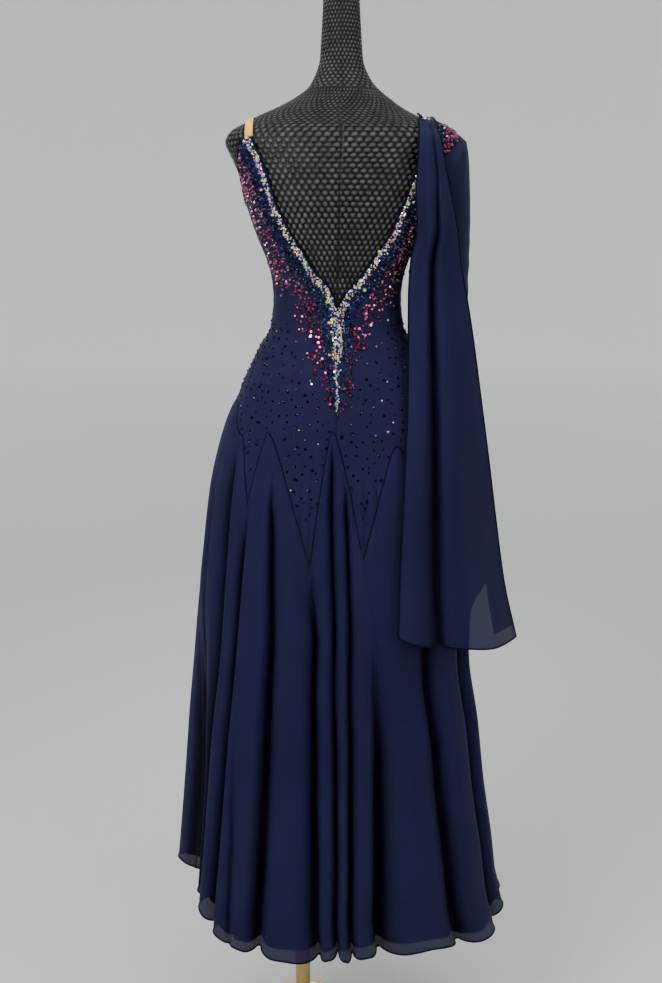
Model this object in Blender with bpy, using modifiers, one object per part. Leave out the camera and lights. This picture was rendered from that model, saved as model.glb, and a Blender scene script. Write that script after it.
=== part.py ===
"""Ballroom dance dress on a limbless dress form with a stand.

Frame: origin at the centre of the base's underside, +Z up, the dress's front towards -Y and the
wearer's left towards +X. Angles go round the body from the wearer's left (0) by the back (90).
Every piece of cloth is a wall between two skins. The bodice, sleeve, float and strap have their
second skin along the surface's own normal. The gores and the lining have theirs along the normal
of the body's level sections, so that neighbours stay parallel across their seams.
"""

import math

import bpy
import numpy as np

# Driving dimensions, in metres
WALL = 0.0012  # thickness of each cloth wall
EASE = 0.0022  # from the form's cover to the cloth
SEAM = 0.0005  # gap between two pieces at a seam
TOUCH = 0.0004  # gap between pieces that rest on each other
STRAP_LIFT = 0.0011  # from the form's cover to the strap
LINING_TOP_Z = 1.04
LINING_ABOVE_HEM = 0.032  # from the gores' hem up to the lining's
PANEL_TOP_OF_SKIRT_Z = 1.25  # the panels' rows are level above this and run to the points below it
FOLD_DEPTH = 0.034  # from the crest of a skirt fold to its valley at the hem
FOLD_GROWS_OVER = 0.26  # length below the seam in which a fold reaches its depth there
FOLD_START_Z = 1.22  # the folds deepen from this height down to FOLD_FULL_Z
FOLD_FULL_Z = 0.32
FOLD_ROUNDNESS = 0.8  # power of the sine across a fold; lower is rounder
FULL_FOLD_ANGLE = 12.0  # a fold narrower than this is also less deep
SHALLOWEST_FOLD = 0.45  # share of the depth that the narrowest folds keep
STEEP_WALL = 0.0026  # most that a fold's steep side is thickened along the body's normal
POLE_RADIUS = 0.014
POLE_SIDES = 32
BASE_RADIUS = 0.138
BASE_SIDES = 36
BASE_HEIGHT = 0.024
BASE_EDGE = 0.008  # radius of the base's rounded rim
BASE_SLOPE = 0.008  # fall from the pole's collar to that rim
RIM_POINTS = 5
COLLAR = 0.004  # flat ring round the pole's foot
MERGED = 0.00005  # points of the turned base closer than this are one

# The form's level sections: height, middle in x, half width, depth to the back, depth to the front
FORM_SECTIONS = np.array(
    [
        (1.030, -0.0630, 0.1500, 0.100, 0.090),
        (1.100, -0.0630, 0.1580, 0.108, 0.096),
        (1.170, -0.0630, 0.1640, 0.114, 0.101),
        (1.220, -0.0630, 0.1660, 0.115, 0.103),
        (1.250, -0.0630, 0.1629, 0.1135, 0.102),
        (1.284, -0.0630, 0.1490, 0.108, 0.100),
        (1.327, -0.0635, 0.1280, 0.094, 0.096),
        (1.365, -0.0640, 0.1080, 0.082, 0.090),
        (1.414, -0.0641, 0.1029, 0.078, 0.087),
        (1.443, -0.0645, 0.1058, 0.081, 0.091),
        (1.473, -0.0650, 0.1141, 0.085, 0.101),
        (1.513, -0.0660, 0.1314, 0.090, 0.116),
        (1.560, -0.0670, 0.1481, 0.0940, 0.112),
        (1.600, -0.0680, 0.1610, 0.0925, 0.103),
        (1.620, -0.0690, 0.1705, 0.0895, 0.098),
        (1.640, -0.0700, 0.1810, 0.0855, 0.092),
        (1.650, -0.0700, 0.1858, 0.0830, 0.0885),
        (1.658, -0.0700, 0.1875, 0.0805, 0.0850),
        (1.674, -0.0700, 0.1780, 0.0745, 0.0775),
        (1.684, -0.0670, 0.1560, 0.0705, 0.0725),
        (1.696, -0.0645, 0.1303, 0.0655, 0.0665),
        (1.708, -0.0670, 0.1040, 0.0605, 0.0610),
        (1.723, -0.0710, 0.0786, 0.0545, 0.0545),
        (1.738, -0.0725, 0.0579, 0.0488, 0.0485),
        (1.753, -0.0713, 0.0465, 0.0435, 0.0430),
        (1.783, -0.0705, 0.0350, 0.037, 0.037),
        (1.813, -0.0703, 0.0327, 0.034, 0.034),
        (1.872, -0.0703, 0.0292, 0.031, 0.031),
        (1.915, -0.0703, 0.0280, 0.029, 0.029),
        (1.927, -0.0703, 0.0235, 0.024, 0.024),
        (1.930, -0.0703, 0.0130, 0.013, 0.013),
    ]
)
# The skirt's outline below the hips, in the same columns, through the crests of its folds
SKIRT_SECTIONS = np.array(
    [
        (0.306, -0.0690, 0.3019, 0.202, 0.200),
        (0.391, -0.0622, 0.2885, 0.197, 0.193),
        (0.453, -0.0617, 0.2816, 0.192, 0.187),
        (0.576, -0.0584, 0.2663, 0.180, 0.175),
        (0.682, -0.0570, 0.2551, 0.173, 0.168),
        (0.789, -0.0540, 0.2402, 0.165, 0.160),
        (0.870, -0.0560, 0.2337, 0.160, 0.154),
        (0.985, -0.0590, 0.2230, 0.149, 0.143),
        (1.091, -0.0610, 0.2110, 0.139, 0.132),
        (1.165, -0.0620, 0.1940, 0.128, 0.120),
        (1.206, -0.0625, 0.1812, 0.121, 0.112),
    ]
)
SHOULDER_SQUARENESS = 0.06  # how far the sections reach out at their four corners

# The seam between yoke and skirt, once round: angle and height of each point and each arch top
SEAM_POINTS = np.array(
    [
        (25.0, 1.080),
        (51.5, 1.080),
        (79.9, 0.985),
        (101.7, 0.995),
        (130.0, 1.080),
        (155.0, 1.080),
        (205.0, 1.080),
        (230.0, 1.080),
        (258.0, 0.990),
        (282.0, 0.990),
        (310.0, 1.080),
        (335.0, 1.080),
    ]
)
SEAM_ARCHES = np.array(
    [
        (39.5, 1.191),
        (55.5, 1.199),
        (88.0, 1.203),
        (119.0, 1.178),
        (140.5, 1.191),
        (180.0, 1.195),
        (217.0, 1.191),
        (243.0, 1.198),
        (270.0, 1.203),
        (297.0, 1.198),
        (323.0, 1.191),
        (360.0, 1.195),
    ]
)
ARCH_POWER = 1.5  # the arch falls away from its top by this power of the way to the point
ARCH_STEPS = (0.45, 0.8)  # where the arch's side is cut into straight runs
# The valleys between the skirt's folds, once round
VALLEYS = np.array(
    [11, 25, 38, 48, 64, 82, 90, 96, 106, 130, 155, 168, 186, 205, 222, 230, 244, 258, 266, 282]
    + [296, 310, 322, 335, 348],
    float,
)
FOLD_STEPS = (0.22, 0.5, 0.78)  # where a fold's crest is cut into straight runs
GORE_ROWS = (0.0, 0.15, 0.32, 0.5, 0.68, 0.84, 1.0)  # shares of the way up from the hem
GAP_READ_Z = 0.6  # the height at which the gap between two gores is SEAM
NEAR_COLUMNS = 1.2  # degrees; an arch column closer than this to a fold column is left out

# The gores' hem, once round: angle and height. It is shorter at the wearer's left
HEM = np.array(
    [
        (0.0, 0.382),
        (18.0, 0.386),
        (34.0, 0.368),
        (41.0, 0.358),
        (49.0, 0.335),
        (57.0, 0.319),
        (66.0, 0.309),
        (76.0, 0.306),
        (88.0, 0.314),
        (118.0, 0.319),
        (144.0, 0.303),
        (164.0, 0.320),
        (180.0, 0.328),
        (245.0, 0.312),
        (290.0, 0.310),
        (325.0, 0.330),
        (345.0, 0.358),
    ]
)

# The lining: share of the way up from its hem, and how far it lies inside the skirt there
LINING_ROWS = np.array(
    [(0.0, 0.0130), (0.19, 0.0116), (0.43, 0.0087), (0.66, 0.0074), (0.84, 0.0060), (1.0, 0.0044)]
)
BEHIND_POINT = 0.03  # length above the seam's line in which the lining closes up to the yoke
CLOSED_UP = 0.8  # share of its inset that it gives up there

# The open edges of the bodice: height and angle
NECK_LEFT = np.array(
    [(1.396, 90), (1.421, 85.2), (1.437, 78.4), (1.455, 70.6), (1.477, 64.7), (1.497, 60.4)]
    + [(1.519, 56.2), (1.542, 52.6), (1.573, 49.9), (1.619, 48.0), (1.658, 46.1)]
)
ARM_LEFT = np.array(
    [(1.560, 0), (1.582, 12), (1.610, 20.8), (1.635, 30.5), (1.648, 35.5), (1.658, 37.6)]
)
NECK_RIGHT = np.array(
    [(1.396, 90), (1.421, 98.2), (1.440, 107), (1.469, 116.6), (1.503, 124.1), (1.527, 126.8)]
    + [(1.579, 131.4), (1.603, 132.2), (1.630, 131), (1.660, 130.5), (1.680, 137), (1.696, 160)]
)
NECK_FRONT_LEFT = np.array(
    [(1.545, 270), (1.552, 284), (1.570, 296), (1.600, 304), (1.630, 308), (1.658, 310)]
)
NECK_FRONT_RIGHT = np.array(
    [(1.545, 270), (1.552, 256), (1.570, 246), (1.600, 239), (1.640, 231)]
    + [(1.680, 222), (1.696, 199)]
)
ARM_FRONT_LEFT = np.array([(1.560, 360), (1.590, 349), (1.625, 334), (1.658, 322)])
SHOULDER_TOP_Z = 1.696  # the level of the bodice's top row at the right shoulder
STRAP_FOOT_Z = 1.658  # the level of its top row under the strap
YOKE_STEPS = (1.0, 0.7, 0.35)  # rows of the yoke, as shares of the way up from its lower edge

ARMHOLE_Z = 1.605
ARMHOLE_HALF_HEIGHT = 0.052
ARMHOLE_HALF_ANGLE = 32.0
CAP_GROWTH = 1.08  # the sleeve's cap against the armhole that it covers
CAP_LIFT = 0.0012  # from the bodice to the cap's edge

STRAP_WIDTH = 0.013
STRAP_X = 0.0735
STRAP_HIGHEST_Z = 1.72
STRAP_LEAST_ANGLE, STRAP_MOST_ANGLE = 20.0, 60.0
STRAP_ROWS = 17
HALVINGS = 40

# The sleeve's rings below its cap: outer edge in x and z, inner edge in x and z, half depth
SLEEVE_RINGS = np.array(
    [
        (-0.2720, 1.655, -0.2200, 1.546, 0.052),
        (-0.2775, 1.630, -0.2150, 1.533, 0.050),
        (-0.2800, 1.580, -0.2070, 1.513, 0.047),
        (-0.2820, 1.520, -0.1970, 1.485, 0.046),
        (-0.2830, 1.460, -0.1840, 1.452, 0.044),
        (-0.2830, 1.380, -0.1880, 1.380, 0.041),
        (-0.2880, 1.300, -0.2240, 1.300, 0.038),
        (-0.3010, 1.220, -0.2600, 1.220, 0.034),
        (-0.3130, 1.155, -0.2690, 1.155, 0.031),
    ]
)
SLEEVE_SEGMENTS = 18

# The float's two edges, from the shoulder down: x, y, z of the left edge, then of the right one
FLOAT_EDGES = np.array(
    [
        (-0.195, 0.012, 1.700, -0.216, 0.006, 1.700),
        (-0.192, 0.043, 1.696, -0.218, 0.035, 1.696),
        (-0.190, 0.066, 1.676, -0.220, 0.056, 1.677),
        (-0.189, 0.081, 1.651, -0.225, 0.070, 1.653),
        (-0.188, 0.085, 1.621, -0.230, 0.073, 1.622),
        (-0.186, 0.084, 1.577, -0.240, 0.072, 1.578),
        (-0.189, 0.079, 1.517, -0.253, 0.068, 1.517),
        (-0.180, 0.075, 1.468, -0.260, 0.064, 1.468),
        (-0.177, 0.078, 1.409, -0.273, 0.060, 1.408),
        (-0.177, 0.086, 1.346, -0.285, 0.058, 1.344),
        (-0.176, 0.108, 1.252, -0.301, 0.056, 1.246),
        (-0.172, 0.131, 1.159, -0.317, 0.054, 1.146),
        (-0.168, 0.146, 1.065, -0.333, 0.050, 1.042),
        (-0.164, 0.157, 0.968, -0.351, 0.046, 0.935),
        (-0.162, 0.167, 0.876, -0.377, 0.042, 0.831),
    ]
)
FLOAT_COLUMNS = (0.0, 0.13, 0.28, 0.42, 0.62, 0.82, 1.0)
FLOAT_VALLEY = 0.28  # where the float's one deep fold runs, as a share of its width
FLOAT_VALLEY_WIDTH = 0.09  # share of its width
FLOAT_VALLEY_DEPTH = 0.012
FLOAT_BULGE = 0.020
FLOAT_FLAT_ROWS = 6  # rows from the shoulder in which the bulge and the fold grow

# Steps in degrees, metres or rows across which a surface's normals are read
BODY_STEPS = (0.1, 0.0005)
PANEL_STEPS = (0.5, 0.003)
SLEEVE_STEPS = (0.05, 0.05)
FLOAT_STEPS = (0.04, 0.2)
SLOPE_STEP = 0.8  # degrees across which a fold's slope is read
RISE_STEP = 0.3  # degrees across which the seam's rise is read
FORM_STEP = 10.0  # degrees between the form's columns
SHARP_ANGLE = math.radians(40)

CLOTH = "navy_cloth"
CHIFFON = "navy_chiffon"
LINING = "navy_lining"
MATERIALS = {  # colour, roughness, metallic
    CLOTH: ((0.016, 0.022, 0.085), 0.75, 0.0),
    CHIFFON: ((0.024, 0.031, 0.105), 0.6, 0.0),
    LINING: ((0.008, 0.011, 0.045), 0.65, 0.0),
    "strap_satin": ((0.62, 0.36, 0.22), 0.4, 0.0),
    "form_cover": ((0.012, 0.012, 0.014), 0.42, 0.0),
    "brass": ((0.72, 0.49, 0.22), 0.28, 1.0),
}


def smooth(places, values, at):
    """Reads a table between its rows without overshooting them (monotone cubic)."""
    steps = np.diff(places)
    rises = np.diff(values) / steps
    before, after = rises[:-1], rises[1:]
    same_way = before * after > 0
    weight_before = 2 * steps[1:] + steps[:-1]
    weight_after = steps[1:] + 2 * steps[:-1]
    safe = np.where(same_way, before, 1.0), np.where(same_way, after, 1.0)
    mean = (weight_before + weight_after) / (weight_before / safe[0] + weight_after / safe[1])
    slopes = np.concatenate([rises[:1], np.where(same_way, mean, 0.0), rises[-1:]])
    at = np.clip(at, places[0], places[-1])
    row = np.clip(np.searchsorted(places, at) - 1, 0, len(steps) - 1)
    t = (at - places[row]) / steps[row]
    return (
        values[row] * (1 + 2 * t) * (1 - t) ** 2
        + slopes[row] * steps[row] * t * (1 - t) ** 2
        + values[row + 1] * t**2 * (3 - 2 * t)
        + slopes[row + 1] * steps[row] * t**2 * (t - 1)
    )


DRESS_SECTIONS = np.vstack(
    [SKIRT_SECTIONS, FORM_SECTIONS[FORM_SECTIONS[:, 0] >= PANEL_TOP_OF_SKIRT_Z]]
)


def normals(surface, u, v, step_u, step_v):
    """Unit normals of surface(u, v), from the differences across a small step each way."""
    along = surface(u + step_u, v) - surface(u - step_u, v)
    across = surface(u, v + step_v) - surface(u, v - step_v)
    normal = np.cross(along, across)
    return normal / np.linalg.norm(normal, axis=-1, keepdims=True)


def section_point(sections, angle, z):
    """The point of a table's surface at an angle in degrees and a height."""
    middle, half_width, back, front = (
        smooth(sections[:, 0], sections[:, k], z) for k in (1, 2, 3, 4)
    )
    turn = np.radians(angle)
    reach = 1 + SHOULDER_SQUARENESS * np.sin(2 * turn) ** 2
    depth = np.where(np.sin(turn) >= 0, back, front)
    x = middle + half_width * np.cos(turn) * reach
    y = depth * np.sin(turn) * reach
    return np.stack([x, y, z + 0 * x], axis=-1)


def body_normals(sections, angle, z):
    """Unit normals of a table's surface."""

    def surface(u, v):
        return section_point(sections, u, v)

    return normals(surface, angle, z, *BODY_STEPS)


def lifted(sections, angle, z, lift):
    """A table's surface moved out along its normal."""
    angle, z, lift = np.broadcast_arrays(angle, z, lift)
    return section_point(sections, angle, z) + body_normals(sections, angle, z) * lift[..., None]


def seam_table():
    """Angles and heights of the straight runs that make the seam of points and arches."""
    runs = []
    for (start, start_z), (end, end_z) in zip(SEAM_POINTS, np.roll(SEAM_POINTS, -1, axis=0)):
        end = end + 360 * (end < start)
        top, top_z = next(row for row in SEAM_ARCHES if start < row[0] < end)
        runs.append((start, start_z))
        for side, side_z, steps in ((start, start_z, ARCH_STEPS[::-1]), (end, end_z, ARCH_STEPS)):
            if side == end:
                runs.append((top, top_z))
            for t in steps:
                fall = (top_z - side_z) * t**ARCH_POWER
                runs.append((top + (side - top) * t, top_z - fall))
    runs = np.array(runs)
    runs[:, 0] %= 360
    return runs[np.argsort(runs[:, 0])]


SEAM_RUNS = seam_table()


def seam_height(angle):
    return np.interp(angle, SEAM_RUNS[:, 0], SEAM_RUNS[:, 1], period=360)


def seam_clearance(angle):
    """How far below the seam's line a gore starts, so that the gap across the seam is SEAM."""
    z = seam_height(angle)
    rise = np.maximum(
        abs(seam_height(angle + RISE_STEP) - z), abs(seam_height(angle - RISE_STEP) - z)
    )
    here = section_point(DRESS_SECTIONS, angle, z)
    there = section_point(DRESS_SECTIONS, angle + RISE_STEP, z)
    run = np.linalg.norm(there - here, axis=-1)
    return SEAM * np.sqrt(1 + (rise / run) ** 2)


def fold_depth(angle, z):
    """How far the folded skirt lies inside the line of its crests."""
    angle = np.mod(angle, 360)
    edges = np.concatenate([[VALLEYS[-1] - 360], VALLEYS, [VALLEYS[0] + 360]])
    fold = np.clip(np.searchsorted(edges, angle, side="right") - 1, 0, len(edges) - 2)
    width = edges[fold + 1] - edges[fold]
    share = (angle - edges[fold]) / width
    crest = np.sin(np.pi * np.clip(share, 0, 1)) ** FOLD_ROUNDNESS
    below_seam = np.clip((seam_height(angle) - z) / FOLD_GROWS_OVER, 0, 1)
    fallen = (FOLD_START_Z - z) / (FOLD_START_Z - FOLD_FULL_Z)
    hanging = np.clip(fallen, 0, 1) ** FOLD_ROUNDNESS
    narrow = np.clip(width / FULL_FOLD_ANGLE, SHALLOWEST_FOLD, 1)
    return FOLD_DEPTH * narrow * below_seam * hanging * (1 - crest)


def skirt_surface(angle, z):
    return lifted(DRESS_SECTIONS, angle, z, EASE - fold_depth(angle, z))


def hem_height(angle):
    return np.interp(angle, HEM[:, 0], HEM[:, 1], period=360)


def lining_height(angle, share):
    """The height at a share of the way up from the lining's hem, which follows the gores'."""
    low = hem_height(angle) + LINING_ABOVE_HEM
    return low + (LINING_TOP_Z - low) * share


def lining_surface(angle, share):
    """The lining inside the skirt by a table. It comes up close behind the yoke's points."""
    z = lining_height(angle, share)
    inset = np.interp(share, LINING_ROWS[:, 0], LINING_ROWS[:, 1])
    behind_point = np.clip((z - seam_height(angle)) / BEHIND_POINT, 0, 1)
    inset = inset * (1 - CLOSED_UP * behind_point)
    return lifted(DRESS_SECTIONS, angle, z, EASE - fold_depth(angle, z) - inset)


def folded_wall(angle, z):
    """The step from a folded skin to the other skin: along the body's own normal, so that two
    skins never cross, and longer where the fold is steep, so that the wall is as thick there."""
    angle, z = np.broadcast_arrays(angle, z)
    here = fold_depth(angle, z)
    run = np.linalg.norm(
        section_point(DRESS_SECTIONS, angle + SLOPE_STEP, z)
        - section_point(DRESS_SECTIONS, angle, z),
        axis=-1,
    )
    rise = np.maximum(
        abs(fold_depth(angle + SLOPE_STEP, z) - here),
        abs(fold_depth(angle - SLOPE_STEP, z) - here),
    )
    length = np.minimum(WALL * np.sqrt(1 + (rise / run) ** 2), STEEP_WALL)
    return body_normals(DRESS_SECTIONS, angle, z) * length[..., None]


def bodice_surface(angle, z):
    return lifted(DRESS_SECTIONS, angle, z, EASE)


def fold_columns():
    """Angles of all the valleys and of the runs over each crest."""
    columns = []
    for start, end in zip(VALLEYS, np.roll(VALLEYS, -1)):
        end = end + 360 * (end < start)
        columns += [start] + [start + (end - start) * t for t in FOLD_STEPS]
    return np.sort(np.mod(columns, 360))


# Building


def material(name):
    colour, roughness, metallic = MATERIALS[name]
    made = bpy.data.materials.get(name)
    if made is None:
        made = bpy.data.materials.new(name)
        made.use_nodes = True
        shader = made.node_tree.nodes["Principled BSDF"]
        shader.inputs["Base Color"].default_value = (*colour, 1.0)
        shader.inputs["Roughness"].default_value = roughness
        shader.inputs["Metallic"].default_value = metallic
        made.diffuse_color = (*colour, 1.0)
    return made


def finish(name, mesh, material_name, collection):
    """Puts a mesh in the scene as a smooth-shaded object with its material."""
    mesh.materials.append(material(material_name))
    mesh.shade_smooth()
    mesh.set_sharp_from_angle(angle=SHARP_ANGLE)
    made = bpy.data.objects.new(name, mesh)
    collection.objects.link(made)
    return made


def grid_faces(rows, columns, first, wrap, flip=False, turned=False):
    """Quads over a grid of points numbered from first, row by row. Flipped ones start at the same
    corner, so that both skins of a wall are split along the same diagonals. Turned ones are split
    along the other diagonal."""
    faces = []
    for row in range(rows - 1):
        low, high = first + row * columns, first + (row + 1) * columns
        for column in range(columns if wrap else columns - 1):
            after = (column + 1) % columns
            quad = [low + column, low + after, high + after, high + column]
            if turned:
                quad = quad[1:] + quad[:1]
            if flip:
                quad = quad[:1] + quad[:0:-1]
            faces.append(quad)
    return faces


def rim_faces(loop, second_skin, closed):
    """Quads between a skin's border and the same border on the other skin."""
    faces = []
    for i in range(len(loop) if closed else len(loop) - 1):
        a, b = loop[i], loop[(i + 1) % len(loop)]
        faces.append([b, a, a + second_skin, b + second_skin])
    return faces


def cloth(name, inner, outer, material_name, collection, wrap=False):
    """A closed wall between two grids of points. Rows run up and columns run round the body."""
    rows, columns = inner.shape[:2]
    count = rows * columns
    faces = grid_faces(rows, columns, 0, wrap, flip=True, turned=True)
    faces += grid_faces(rows, columns, count, wrap, turned=True)
    bottom = list(range(columns))
    top = [(rows - 1) * columns + c for c in range(columns)]
    if wrap:
        faces += rim_faces(bottom[::-1], count, True) + rim_faces(top, count, True)
    else:
        side = [r * columns + columns - 1 for r in range(1, rows - 1)]
        other = [r * columns for r in range(rows - 2, 0, -1)]
        faces += rim_faces((bottom + side + top[::-1] + other)[::-1], count, True)
    mesh = bpy.data.meshes.new(name)
    points = np.concatenate([inner.reshape(-1, 3), outer.reshape(-1, 3)])
    mesh.from_pydata(points.tolist(), [], faces)
    return finish(name, mesh, material_name, collection)


def levels_up_to(top):
    """The form's own levels over the hips, so that cloth and cover bend at the same heights."""
    heights = FORM_SECTIONS[:, 0]
    return heights[(heights >= PANEL_TOP_OF_SKIRT_Z) & (heights <= top)]


def panel(name, start, end, top, edges, collection):
    """A quarter of bodice with its piece of yoke. edges gives the two side angles of each row."""
    columns = SEAM_RUNS[(SEAM_RUNS[:, 0] > start) & (SEAM_RUNS[:, 0] < end), 0]
    columns = np.concatenate([[start], columns, [end]])
    seam_z = seam_height(columns)
    shares = (columns - start) / (end - start)
    angles, heights = [], []
    rows = levels_up_to(top)
    level = rows[0]
    left, right = edges(level)
    at_level = left + (right - left) * shares
    for step in YOKE_STEPS:
        angles.append(at_level)
        heights.append(seam_z + (level - seam_z) * (1 - step))
    for z in rows:
        left, right = edges(z)
        angles.append(left + (right - left) * shares)
        heights.append(np.full(len(columns), z))
    u, v = np.array(angles), np.array(heights)
    inner = bodice_surface(u, v)
    outer = inner + normals(bodice_surface, u, v, *PANEL_STEPS) * WALL
    cloth(name, inner, outer, CLOTH, collection)


def gap_angle(z, angle):
    """Half of a seam's gap as an angle."""
    here = section_point(DRESS_SECTIONS, angle, z)
    there = section_point(DRESS_SECTIONS, angle + 1.0, z)
    return 0.5 * SEAM / float(np.linalg.norm(there - here))


def armhole_width(z):
    """The armhole's half angle at a height, nothing above or below it."""
    off = (z - ARMHOLE_Z) / ARMHOLE_HALF_HEIGHT
    return ARMHOLE_HALF_ANGLE * math.sqrt(max(0.0, 1 - off**2))


def edge(table, z):
    return float(np.interp(z, table[:, 0], table[:, 1]))


def back_left_edges(z):
    side = max(edge(ARM_LEFT, z), gap_angle(z, 0.0))
    return side, min(edge(NECK_LEFT, z), 90 - gap_angle(z, 90.0))


def back_right_edges(z):
    side = 180 - max(armhole_width(z), gap_angle(z, 180.0))
    return max(edge(NECK_RIGHT, z), 90 + gap_angle(z, 90.0)), side


def front_right_edges(z):
    side = 180 + max(armhole_width(z), gap_angle(z, 180.0))
    return side, min(edge(NECK_FRONT_RIGHT, z), 270 - gap_angle(z, 270.0))


def front_left_edges(z):
    side = min(edge(ARM_FRONT_LEFT, z), 360 - gap_angle(z, 0.0))
    return max(edge(NECK_FRONT_LEFT, z), 270 + gap_angle(z, 270.0)), side


def build_bodice(collection):
    panel("back_left", 0, 90, STRAP_FOOT_Z, back_left_edges, collection)
    panel("back_right", 90, 180, SHOULDER_TOP_Z, back_right_edges, collection)
    panel("front_right", 180, 270, SHOULDER_TOP_Z, front_right_edges, collection)
    panel("front_left", 270, 360, STRAP_FOOT_Z, front_left_edges, collection)


def between(angles, start, end, margin):
    """The angles that lie inside a gore, once round or over the join at 360."""
    angles = np.concatenate([angles, angles + 360])
    return angles[(angles > start + margin) & (angles < end - margin)]


def build_gores(collection):
    folds = fold_columns()
    for number, start in enumerate(SEAM_POINTS[:, 0], 1):
        end = SEAM_POINTS[number % len(SEAM_POINTS), 0]
        end = end + 360 * (end < start)
        inside = between(folds, start, end, NEAR_COLUMNS)
        arch = between(SEAM_RUNS[:, 0], start, end, NEAR_COLUMNS / 2)
        apart = abs(arch[:, None] - inside).min(axis=1)
        inside = np.sort(np.concatenate([inside, arch[apart > NEAR_COLUMNS]]))
        columns = np.concatenate([[start], inside, [end]])
        gap = gap_angle(GAP_READ_Z, start)
        set_in = np.clip(columns, start + gap, end - gap)
        top_z = seam_height(set_in) - seam_clearance(set_in)
        hem_z = hem_height(columns)
        v = hem_z + (top_z - hem_z) * np.array(GORE_ROWS)[:, None]
        inner = skirt_surface(set_in, v)
        outer = inner + folded_wall(columns, v)
        cloth(f"skirt_gore_{number:02d}", inner, outer, CHIFFON, collection)


def build_lining(collection):
    u, share = np.meshgrid(fold_columns(), LINING_ROWS[:, 0])
    outer = lining_surface(u, share)
    inner = outer - folded_wall(u, lining_height(u, share))
    cloth("skirt_lining", inner, outer, LINING, collection, wrap=True)


def strap_height(angle, x):
    """The height at which the form's surface has this x, at an angle near the shoulder."""
    low, high = STRAP_FOOT_Z, STRAP_HIGHEST_Z
    for _ in range(HALVINGS):
        middle = (low + high) / 2
        if section_point(FORM_SECTIONS, angle, middle)[0] > x:
            low = middle
        else:
            high = middle
    return low


def strap_reach(x):
    """The angle at which the strap's edge at this x comes down to the bodice's top row."""
    low, high = STRAP_LEAST_ANGLE, STRAP_MOST_ANGLE
    for _ in range(HALVINGS):
        middle = (low + high) / 2
        if strap_height(middle, x) > STRAP_FOOT_Z + TOUCH:
            low = middle
        else:
            high = middle
    return low


def build_strap(collection):
    """A band over the left shoulder, down to the bodice's two top edges."""
    sides = (STRAP_X + STRAP_WIDTH / 2, STRAP_X - STRAP_WIDTH / 2)
    shares = np.linspace(-1, 1, STRAP_ROWS)
    u = np.array([[share * strap_reach(x) for x in sides] for share in shares])
    v = np.array([[strap_height(angle, x) for angle, x in zip(row, sides)] for row in u])
    inner = lifted(FORM_SECTIONS, u, v, STRAP_LIFT)
    outer = lifted(FORM_SECTIONS, u, v, STRAP_LIFT + WALL)
    cloth("shoulder_strap", outer, inner, "strap_satin", collection)


def sleeve_surface(turn, level):
    """The sleeve: level 0 is its cap on the bodice, whole levels above it are its rings."""
    turn, level = np.broadcast_arrays(turn, level)
    cap_angle = 180 - CAP_GROWTH * ARMHOLE_HALF_ANGLE * np.sin(turn)
    cap_z = ARMHOLE_Z + CAP_GROWTH * ARMHOLE_HALF_HEIGHT * np.cos(turn)
    cap = lifted(DRESS_SECTIONS, cap_angle, cap_z, EASE + WALL + CAP_LIFT)
    count = len(SLEEVE_RINGS)
    places = np.arange(1, count + 1, dtype=float)
    outer_x, outer_z, inner_x, inner_z, depth = (
        smooth(places, SLEEVE_RINGS[:, k], np.maximum(level, 1.0)) for k in range(5)
    )
    x = (outer_x + inner_x) / 2 + (outer_x - inner_x) / 2 * np.cos(turn)
    z = (outer_z + inner_z) / 2 + (outer_z - inner_z) / 2 * np.cos(turn)
    ring = np.stack([x, depth * np.sin(turn), z], axis=-1)
    blend = np.clip(level, 0, 1)[..., None]
    return cap * (1 - blend) + ring * blend


def build_sleeve(collection):
    turns = np.linspace(0, 2 * math.pi, SLEEVE_SEGMENTS, endpoint=False)
    levels = np.arange(len(SLEEVE_RINGS), -0.5, -1.0)
    u, v = np.meshgrid(turns, levels)
    inner = sleeve_surface(u, v)
    outward = normals(sleeve_surface, u, np.maximum(v, 2 * SLEEVE_STEPS[1]), *SLEEVE_STEPS)
    cloth("sleeve", inner, inner - outward * WALL, CLOTH, collection, wrap=True)


def float_surface(share, level):
    """The float between its two edges, with a bulge outwards and one deep fold."""
    places = np.arange(len(FLOAT_EDGES), dtype=float)
    sides = [smooth(places, FLOAT_EDGES[:, k], level) for k in range(6)]
    left, right = np.stack(sides[:3], axis=-1), np.stack(sides[3:], axis=-1)
    flat = left + (right - left) * share[..., None]
    grown = np.clip(level / FLOAT_FLAT_ROWS, 0, 1)
    bulge = FLOAT_BULGE * 4 * share * (1 - share)
    valley = FLOAT_VALLEY_DEPTH * np.exp(-(((share - FLOAT_VALLEY) / FLOAT_VALLEY_WIDTH) ** 2))
    flat[..., 1] += (bulge - valley) * grown
    return flat


def build_float(collection):
    u, v = np.meshgrid(FLOAT_COLUMNS, np.arange(len(FLOAT_EDGES) - 1, -0.5, -1.0))
    inner = float_surface(u, v)
    outward = -normals(float_surface, u, v, *FLOAT_STEPS)
    cloth("shoulder_float", inner, inner + outward * WALL, CHIFFON, collection)


def build_form(collection):
    """The padded torso and neck, closed at the hips and at the neck's end."""
    columns = np.arange(0, 360, FORM_STEP)
    u, v = np.meshgrid(columns, FORM_SECTIONS[:, 0])
    points = section_point(FORM_SECTIONS, u, v)
    rows, count = points.shape[:2]
    faces = grid_faces(rows, count, 0, True)
    faces.append(list(range(count))[::-1])
    faces.append([(rows - 1) * count + c for c in range(count)])
    mesh = bpy.data.meshes.new("dress_form")
    mesh.from_pydata(points.reshape(-1, 3).tolist(), [], faces)
    finish("dress_form", mesh, "form_cover", collection)


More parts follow.
